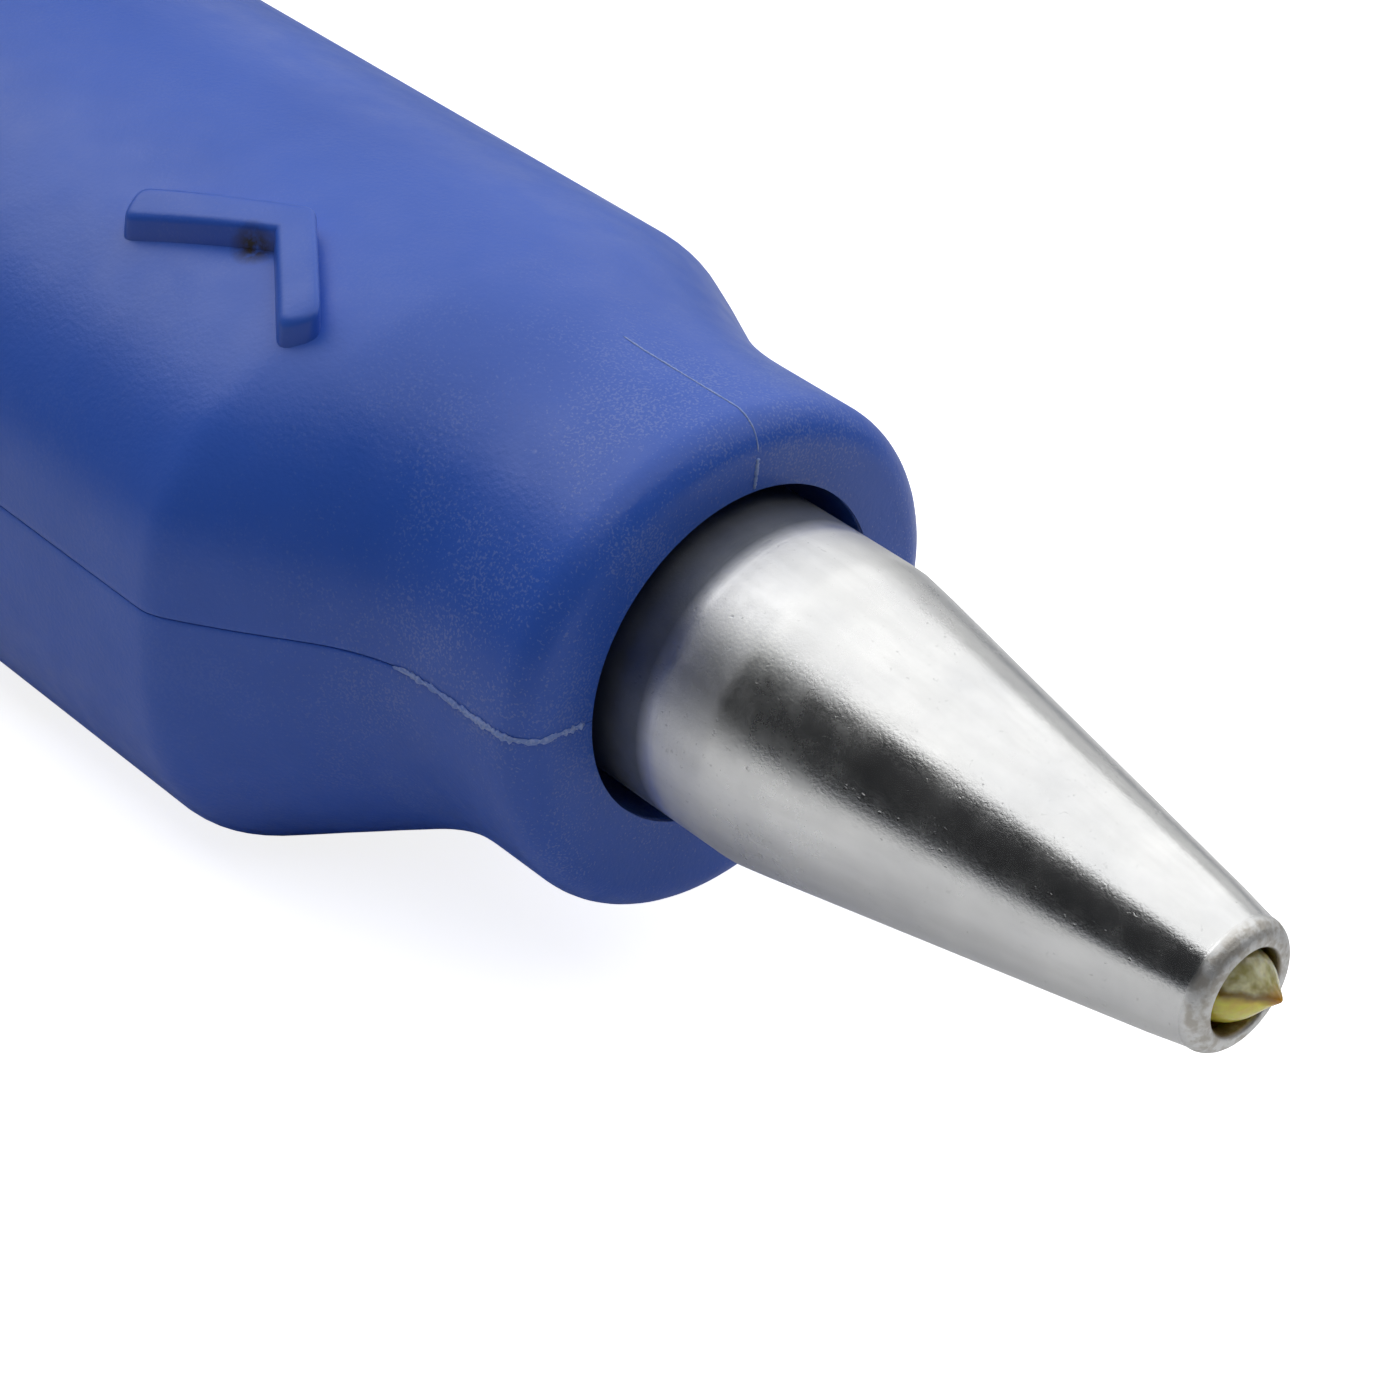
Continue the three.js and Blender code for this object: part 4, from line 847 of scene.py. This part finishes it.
def cap_blank():
    """The cap's outside: the case's end section with a chamfered front and a rounded back."""
    angles = [2 * math.pi * i / CAP_SIDES for i in range(CAP_SIDES)]
    rings = [(0.0, CAP_CHAMFER), (CAP_CHAMFER, 0.0)]
    rings += [(CAP["thick"] - drop, inset) for inset, drop in edge_round(CAP["round"], 8)]
    sections = []
    for behind, shrink in rings:
        x = CAP_FRONT - behind
        radii = [case_radius(CASE_LENGTH, angle, -shrink) for angle in angles]
        sections.append([(x, -r * math.sin(a), r * math.cos(a)) for a, r in zip(angles, radii)])
    front, back = [(sections[i][0][0], 0, 0) for i in (0, -1)]
    return rolled([[front] * len(angles), *sections, [back] * len(angles)])


rear_cap = to_mesh(cap_blank(), "rear_cap_moulding")
spigot = tool(case_skin(-CAP["fit"], CASE_LENGTH - CAP["spigot"], CASE_LENGTH + CAP["lap"], 2))
hollow = tool(case_skin(-CAP["fit"] - CAP["wall"], CASE_LENGTH - CAP["spigot"] - 1, -CAP_FRONT, 2))
boolean(spigot, [hollow], "DIFFERENCE")
boolean(rear_cap, [spigot], "UNION")
notch = bmesh.new()
bmesh.ops.create_cube(notch, size=1)
notch_size = (CAP["spigot"] + 1, SOCKET["width"] + 0.4, SOCKET["height"] + 1.4)
bmesh.ops.scale(notch, vec=[size * MM for size in notch_size], verts=notch.verts)
notch_spot = place(CAP_FRONT + notch_size[0] / 2, 0, SOCKET["z"] - 0.5)
bmesh.ops.translate(notch, vec=notch_spot, verts=notch.verts)
window = cylinder("x", SOCKET["window"], CAP_BACK - 1, -CASE_LENGTH + 1, (0, SOCKET["z"]), 64)
inlet_hole = cylinder("x", INLET["radius"] + 0.1, CAP_BACK - 1, -CASE_LENGTH + 1, (0, 0), 48)
boolean(rear_cap, [tool(notch), tool(window), tool(inlet_hole)], "DIFFERENCE")
dress(rear_cap, blue_plastic, "case", ["rear_cap"])


# ---------------------------------------------------------------- power socket and filament inlet
# A black barrel socket behind the cap's window, with a steel pin, and a white acetal bush that the
# filament is fed through, chamfered so that a cut end finds the hole.
def socket_block():
    """The socket's block with its edges broken, before the barrel is cut out of it."""
    bm = bmesh.new()
    bmesh.ops.create_cube(bm, size=1)
    size = (SOCKET["length"], SOCKET["width"], SOCKET["height"])
    bmesh.ops.scale(bm, vec=[value * MM for value in size], verts=bm.verts)
    bmesh.ops.translate(bm, vec=place(SOCKET_FACE + SOCKET["length"] / 2, 0, SOCKET["z"]), verts=bm.verts)
    edges = bm.edges[:]
    bmesh.ops.bevel(bm, geom=edges, offset=0.3 * MM, segments=2, profile=0.5, affect="EDGES", material=-1)
    return bm


SOCKET_FACE = CAP_FRONT + 0.3
black_plastic = moulded_plastic(
    "socket black", (0.012, 0.012, 0.014), (0.02, 0.02, 0.022), rough=0.4, speck=(0.3, 0.3, 0.32), cover=0.2
)
white_plastic = moulded_plastic(
    "acetal white", (0.78, 0.79, 0.78), (0.86, 0.86, 0.84), rough=0.35, speck=(0.6, 0.58, 0.52), cover=0.2
)
socket = to_mesh(socket_block(), "power_socket_body")
barrel = cylinder("x", SOCKET["barrel"], SOCKET_FACE - 1, SOCKET_FACE + 9, (0, SOCKET["z"]), 64)
boolean(socket, [tool(barrel)], "DIFFERENCE")
dress(socket, black_plastic, "case", ["power_socket"])


def plain_metal(name, colour, rough, brush):
    """Machined metal: brushed streaks in the gloss and a little bump along one direction."""
    material, tree, shader = new_material(name, Metallic=1.0)
    streaks = noise(tree, 1, 3, 0.5, stretch=brush)
    darker = tuple(value * 0.8 for value in colour)
    body = mix_colour(tree, ramp(tree, streaks, 0.35, 0.65), colour, darker)
    tree.links.new(body, shader.inputs["Base Color"])
    tree.links.new(ramp(tree, streaks, 0.3, 0.7, rough - 0.06, rough + 0.08), shader.inputs["Roughness"])
    bump(tree, shader, streaks, 0.000004)
    return material


steel = plain_metal("plain steel", (0.62, 0.63, 0.65), 0.32, (300, 5000, 300))
PIN = SOCKET["pin"]
pin_profile = [(SOCKET_FACE + 9.2, 0.0), (SOCKET_FACE + 9.2, PIN), (SOCKET_FACE + 2, PIN)]
pin_profile += [(SOCKET_FACE + 2 - PIN * math.sin(t), PIN * math.cos(t)) for t in (0.4, 0.8, 1.2)]
pin = spin_profile([*pin_profile, (SOCKET_FACE + 1, 0.0)], 32)
bmesh.ops.translate(pin, vec=(0, 0, SOCKET["z"] * MM), verts=pin.verts)
dress(to_mesh(pin, "power_socket_pin"), steel, "case")
hole, barrel_radius, flange = INLET["hole"], INLET["radius"], INLET["flange"]
inlet_profile = [
    (1.4, hole), (1.4, barrel_radius), (-0.05, barrel_radius), (-0.05, flange), (-0.55, flange),
    (-0.83, flange - 0.12), (-0.96, flange - 0.36), (-1.0, flange - 0.6),
    (-1.0, 2.05), (-0.95, 1.9), (-0.1, 1.1), (0.2, hole),
]
inlet_rings = [(CAP_BACK + ahead, radius) for ahead, radius in inlet_profile]
inlet_bush = to_mesh(spin_profile(inlet_rings, 64), "inlet_bush_turned")
dress(inlet_bush, white_plastic, "case", ["inlet_bush"])

# ---------------------------------------------------------------- buttons, slider and light
# Pale grey soft-touch buttons ride in stadium holes: the long one feeds filament, the round one draws
# it back. Behind them a grooved slider sets the speed and a clear light pipe shows the heat.
BUTTON = {"proud": 0.9, "edge": 0.45, "dish": 0.32}
SLIDER = {"length": 7.0, "width": 5.0, "thick": 1.5, "edge": 0.5, "flat": 1.4, "chamfer": 0.15}
SLIDER_STEM = (3.0, 1.8)
SLIDER_FOOT, SLIDER_TOP = (height_of("speed_slider", end) for end in (0, 1))
GROOVE = {"radius": 0.32, "half": 1.9, "pitch": 0.95, "lift": 0.08}


def stadium_ring(x, length, width, inset, height_at, y=0.0, count=64):
    """One ring of a round-ended bar, moved in from its edge, at a height given for each point."""
    reach = (length - width) / 2
    radius = max(width / 2 - inset, 0.0)
    ring = []
    for i in range(count):
        turn = 2 * math.pi * (i + 0.5) / count
        at_x = x + math.copysign(reach, math.cos(turn)) + radius * math.cos(turn)
        at_y = y + radius * math.sin(turn)
        ring.append((at_x, at_y, height_at(at_x, at_y)))
    return ring


def button_body(spec):
    """The hidden lip, the side walls, a rounded edge and a dished crown that follows the case."""
    def ring(inset, height_at):
        return stadium_ring(spec["x"], spec["length"], spec["width"], inset, height_at)

    def crown(inset, drop):
        return ring(inset, lambda x, y: top_at(x, y) + BUTTON["proud"] - drop)

    half, edge = spec["width"] / 2, BUTTON["edge"]
    low, high = LIP["bottom"], LIP["bottom"] + LIP["thick"]
    rings = [ring(half, lambda x, y: low), ring(-LIP["grow"], lambda x, y: low)]
    rings += [ring(-LIP["grow"], lambda x, y: high), ring(0, lambda x, y: high)]
    rings += [crown(0, BUTTON["proud"] + 0.4), crown(0, 0.5)]
    rings += [crown(inset, drop) for inset, drop in edge_round(edge, 6)[1:]]
    for share in spread(0, 1, 8):
        rings.append(crown(edge + (half - edge) * share, BUTTON["dish"] * ease(share, (0, 1))))
    return rolled(rings)


grey_plastic = moulded_plastic(
    "button grey", (0.42, 0.44, 0.47), (0.5, 0.52, 0.55), rough=0.5, speck=(0.75, 0.75, 0.75), cover=0.2
)
for title, spec in (("feed_button", FEED), ("reverse_button", REVERSE)):
    made = to_mesh(button_body(spec), title + "_cap")
    dress(made, grey_plastic, title, [title], crease=40)


def slider_body():
    def ring(length, width, inset, z):
        return stadium_ring(SLIDER_X, length, width, inset, lambda x, y: z)

    knob, stem, chamfer = (SLIDER["length"], SLIDER["width"]), SLIDER_STEM, SLIDER["chamfer"]
    under = SLIDER_TOP - SLIDER["thick"]
    rings = [ring(*stem, stem[1] / 2, SLIDER_FOOT), ring(*stem, 0, SLIDER_FOOT), ring(*stem, 0, under)]
    rings += [ring(*knob, chamfer, under), ring(*knob, 0, under + chamfer)]
    rings += [ring(*knob, inset, SLIDER_TOP - drop) for inset, drop in edge_round(SLIDER["edge"], 6)]
    return rolled([*rings, ring(*knob, SLIDER["flat"], SLIDER_TOP), ring(*knob, knob[1] / 2, SLIDER_TOP)])


slider = to_mesh(slider_body(), "speed_slider_knob")
grooves = []
for i in range(-2, 3):
    spot = (SLIDER_X + i * GROOVE["pitch"], SLIDER_TOP + GROOVE["lift"])
    grooves.append(tool(cylinder("y", GROOVE["radius"], -GROOVE["half"], GROOVE["half"], spot, 24)))
boolean(slider, grooves, "DIFFERENCE")
dress(slider, grey_plastic, "speed_slider", ["speed_slider"])


def make_clear():
    """Clear acrylic seen as a pale frosted dome."""
    clear = {"Transmission_Weight": 0.7, "IOR": 1.49, "Coat_Weight": 0.5}
    material, tree, shader = new_material("light pipe acrylic", **clear)
    cloudy = noise(tree, 900, 3)
    tree.links.new(mix_colour(tree, cloudy, (0.86, 0.9, 0.92), (0.7, 0.76, 0.8)), shader.inputs["Base Color"])
    tree.links.new(ramp(tree, cloudy, 0.3, 0.7, 0.1, 0.3), shader.inputs["Roughness"])
    return material


clear_plastic = make_clear()
PIPE = {"radius": 1.5, "lip": 2.3, "lip_thick": 1.0, "dome": 0.3}
PIPE_FOOT = height_of("light_pipe", 0)
PIPE_LIP_TOP = PIPE_FOOT + PIPE["lip_thick"]
PIPE_TOP = top_at(LAMP_X, 0)


def pipe_ring(radius, z):
    return stadium_ring(LAMP_X, 2 * radius, 2 * radius, 0, lambda x, y: z)


pipe_rings = [pipe_ring(0, PIPE_FOOT), pipe_ring(PIPE["lip"], PIPE_FOOT), pipe_ring(PIPE["lip"], PIPE_LIP_TOP)]
pipe_rings += [pipe_ring(PIPE["radius"], PIPE_LIP_TOP), pipe_ring(PIPE["radius"], PIPE_TOP - PIPE["dome"])]
for turn in quarter(6):
    drop = PIPE["dome"] * (1 - math.sin(turn))
    pipe_rings.append(pipe_ring(PIPE["radius"] * math.cos(turn) ** 0.7, PIPE_TOP - drop))
light_pipe = to_mesh(rolled([*pipe_rings, pipe_ring(0, PIPE_TOP)]), "light_pipe_dome")
dress(light_pipe, clear_plastic, "case", ["light_pipe"], crease=50)

# ---------------------------------------------------------------- case screws
# Four zinc-plated self-tapping pan heads with cross recesses, driven up from below in counterbores.
SCREW = {"thick": 1.5, "flat": 1.0, "crown": 0.7, "tip": 3.5, "core": 0.78, "thread": 1.0, "pitch": 0.5}
CROSS = {"reach": 1.15, "width": 0.44, "depth": 1.9, "taper": 0.55, "below": 0.2}


def screw_body(x, y):
    """A domed head, then a thread drawn as rings that swell and shrink by turns, then a point."""
    def ring(radius, z):
        return stadium_ring(x, 2 * radius, 2 * radius, 0, lambda at_x, at_y: z, y, 40)

    face = SCREW_SEAT - SCREW["thick"]
    flat, seat = SCREW["flat"], SCREW_SEAT - 0.05
    rings = [ring(0, face), ring(flat, face)]
    for turn in quarter(6):
        reach = flat + (SCREW_HEAD - flat) * math.sin(turn)
        rings.append(ring(reach, face + SCREW["crown"] * (1 - math.cos(turn))))
    rings += [ring(SCREW_HEAD, seat), ring(SCREW["thread"], seat)]
    turns = int((SCREW["tip"] - SCREW_SEAT) / SCREW["pitch"]) - 1
    for i in range(turns):
        z = SCREW_SEAT + i * SCREW["pitch"]
        steps = (("core", 0.12), ("thread", 0.3), ("core", 0.48))
        rings += [ring(SCREW[part], z + above) for part, above in steps]
    return rolled([*rings, ring(0, SCREW["tip"])])


def cross_bar(x, y, turn):
    """One bar of the cross recess, narrower at its bottom."""
    bm = bmesh.new()
    bmesh.ops.create_cube(bm, size=1)
    size = (2 * CROSS["reach"] * MM, CROSS["width"] * MM, CROSS["depth"] * MM)
    bmesh.ops.scale(bm, vec=size, verts=bm.verts)
    for vert in bm.verts:
        if vert.co.z > 0:
            vert.co.x *= CROSS["taper"]
    spot = Matrix.Translation(place(x, y, SCREW_SEAT - SCREW["thick"] - CROSS["below"]))
    bmesh.ops.transform(bm, matrix=spot @ Matrix.Rotation(turn, 4, "Z"), verts=bm.verts)
    return bm


for title, (x, y) in zip(("front_left", "front_right", "rear_left", "rear_right"), screw_places):
    screw = to_mesh(screw_body(x, y), f"case_screw_{title}_turned")
    lean = random.uniform(0, math.pi / 2)
    boolean(screw, [tool(cross_bar(x, y, lean)), tool(cross_bar(x, y, lean + math.pi / 2))], "DIFFERENCE")
    dress(screw, steel, "case", [f"case_screw_{title}"], crease=40)

# ---------------------------------------------------------------- working parts inside
# Brass nozzle and hobbed gear, steel shafts and motor can, ceramic heater sleeve, fibreglass boards:
# stock parts that are hidden once the case is shut, so they keep their drawn shapes.
brass = plain_metal("machined brass", (0.78, 0.56, 0.22), 0.28, (6000, 300, 300))
ceramic = moulded_plastic(
    "alumina ceramic", (0.7, 0.67, 0.6), (0.8, 0.77, 0.7), rough=0.6, speck=(0.5, 0.42, 0.3), cover=0.3
)
board_green = moulded_plastic(
    "board lacquer", (0.01, 0.12, 0.045), (0.014, 0.16, 0.06), rough=0.3, speck=(0.6, 0.62, 0.5), cover=0.25
)
finishes = {
    brass: ["nozzle", "drive_gear"],
    ceramic: ["heater_sleeve"],
    amber: ["thermistor"],
    white_plastic: ["insulator_ring", "front_guide_tube", "rear_guide_tube"],
    black_plastic: ["feed_switch", "reverse_switch", "slide_pot"],
    board_green: ["control_board", "power_board"],
    clear_plastic: ["status_lamp"],
    steel: [
        "heat_break", "drive_shaft", "gearbox", "motor", "pivot_bracket", "idler_arm", "idler_bearing",
        "idler_pin", "arm_pivot_pin", "idler_spring",
    ],
}
for material, titles in finishes.items():
    for title in titles:
        mesh = frame["nodes"][title].data
        mesh.materials.clear()
        mesh.materials.append(material)

# ---------------------------------------------------------------- studio
# A white table under a wide softbox, its colour a painted pool of light that darkens away from the pen, with
# four dimmer lights round it, in a dark room that shows pale in the view itself. The camera is ahead of the
# nozzle, to its right, and looks down on it.
TABLE_HALF = 3.0
TABLE_DROP = 0.02 * MM
# Painted light: the table's colour is a pale pool round the pen that falls to a dark tone farther out.
PAINTED_POOL = {"centre": (0.06, -0.01, 0), "scale": (0.9, 1, 1), "edge": (0.05, 0.16)}
PAINTED_POOL_TONE = (0.88, 0.88, 0.88)
PAINTED_DARK_TONE = (0.15, 0.165, 0.19)
floor_bm = bmesh.new()
bmesh.ops.create_grid(floor_bm, x_segments=1, y_segments=1, size=TABLE_HALF)
bmesh.ops.translate(floor_bm, vec=(0, 0, -TABLE_DROP), verts=floor_bm.verts)
floor = to_mesh(floor_bm, "table")
table_painted_pool, floor_tree, floor_shader = new_material("table painted pool", Roughness=0.9)
away = distance_from(floor_tree, PAINTED_POOL["centre"], PAINTED_POOL["scale"])
painted_pool_tone = mix_colour(floor_tree, ramp(floor_tree, away, *PAINTED_POOL["edge"]), PAINTED_POOL_TONE, PAINTED_DARK_TONE)
floor_tree.links.new(painted_pool_tone, floor_shader.inputs["Base Color"])
seen = add_node(floor_tree, "LightPath").outputs["Is Camera Ray"]
floor_shader.inputs["Emission Color"].default_value = (1, 1, 1, 1)
floor_tree.links.new(ramp(floor_tree, seen, 0, 1, 0.0, 0.85), floor_shader.inputs["Emission Strength"])
floor.data.materials.append(table_painted_pool)


def softbox(name, spot, aim, size, power):
    """A rectangular light, placed and aimed in metres from the middle of the collar's face."""
    lamp = bpy.data.lights.new(name, "AREA")
    lamp.shape = "RECTANGLE"
    lamp.size, lamp.size_y = size
    lamp.energy = power
    made = bpy.data.objects.new(name, lamp)
    made.location = place(0, 0, 0) + Vector(spot)
    made.rotation_euler = (Vector(aim) - Vector(spot)).to_track_quat("-Z", "Y").to_euler()
    bpy.context.scene.collection.objects.link(made)


softbox("overhead softbox", spot=(-0.2, 0.38, 0.46), aim=(-0.2, 0.38, 0), size=(1.1, 1.4), power=5.7)
softbox("left softbox", spot=(-0.55, -0.1, 0.42), aim=(0, 0, 0), size=(0.5, 0.5), power=0.7)
softbox("left card", spot=(-0.62, -0.24, 0.13), aim=(0, 0, 0), size=(0.45, 0.22), power=0.07)
softbox("front card", spot=(0.5, 0.5, 0.42), aim=(0, 0, 0), size=(0.4, 0.4), power=0.45)
softbox("back card", spot=(-0.5, 1.3, 0.22), aim=(0, 0, 0), size=(1.8, 0.5), power=1.7)

world = bpy.data.worlds.new("room")
bpy.context.scene.world = world
world.use_nodes = True
backdrop = world.node_tree.nodes["Background"]
in_view = add_node(world.node_tree, "LightPath").outputs["Is Camera Ray"]
shade = mix_colour(world.node_tree, in_view, (0.0225, 0.0235, 0.025), (0.9, 0.9, 0.9))
world.node_tree.links.new(shade, backdrop.inputs["Color"])
bpy.context.scene.view_settings.view_transform = "Standard"

CAMERA_SPOT = place(75.48, -80.35, 69.30)
CAMERA_UP = Vector((-0.45513, 0.31038, 0.83458))
CAMERA_BACK = Vector((0.58042, -0.60737, 0.54241))
camera_data = bpy.data.cameras.new("camera")
camera_data.lens = 102.9
camera_data.sensor_width = 36
camera_data.clip_start = 0.005
camera = bpy.data.objects.new("camera", camera_data)
side_on = CAMERA_UP.cross(CAMERA_BACK).normalized()
turned = Matrix((side_on, CAMERA_BACK.cross(side_on), CAMERA_BACK)).transposed()
camera.matrix_world = Matrix.Translation(CAMERA_SPOT) @ turned.to_4x4()
bpy.context.scene.collection.objects.link(camera)
bpy.context.scene.camera = camera
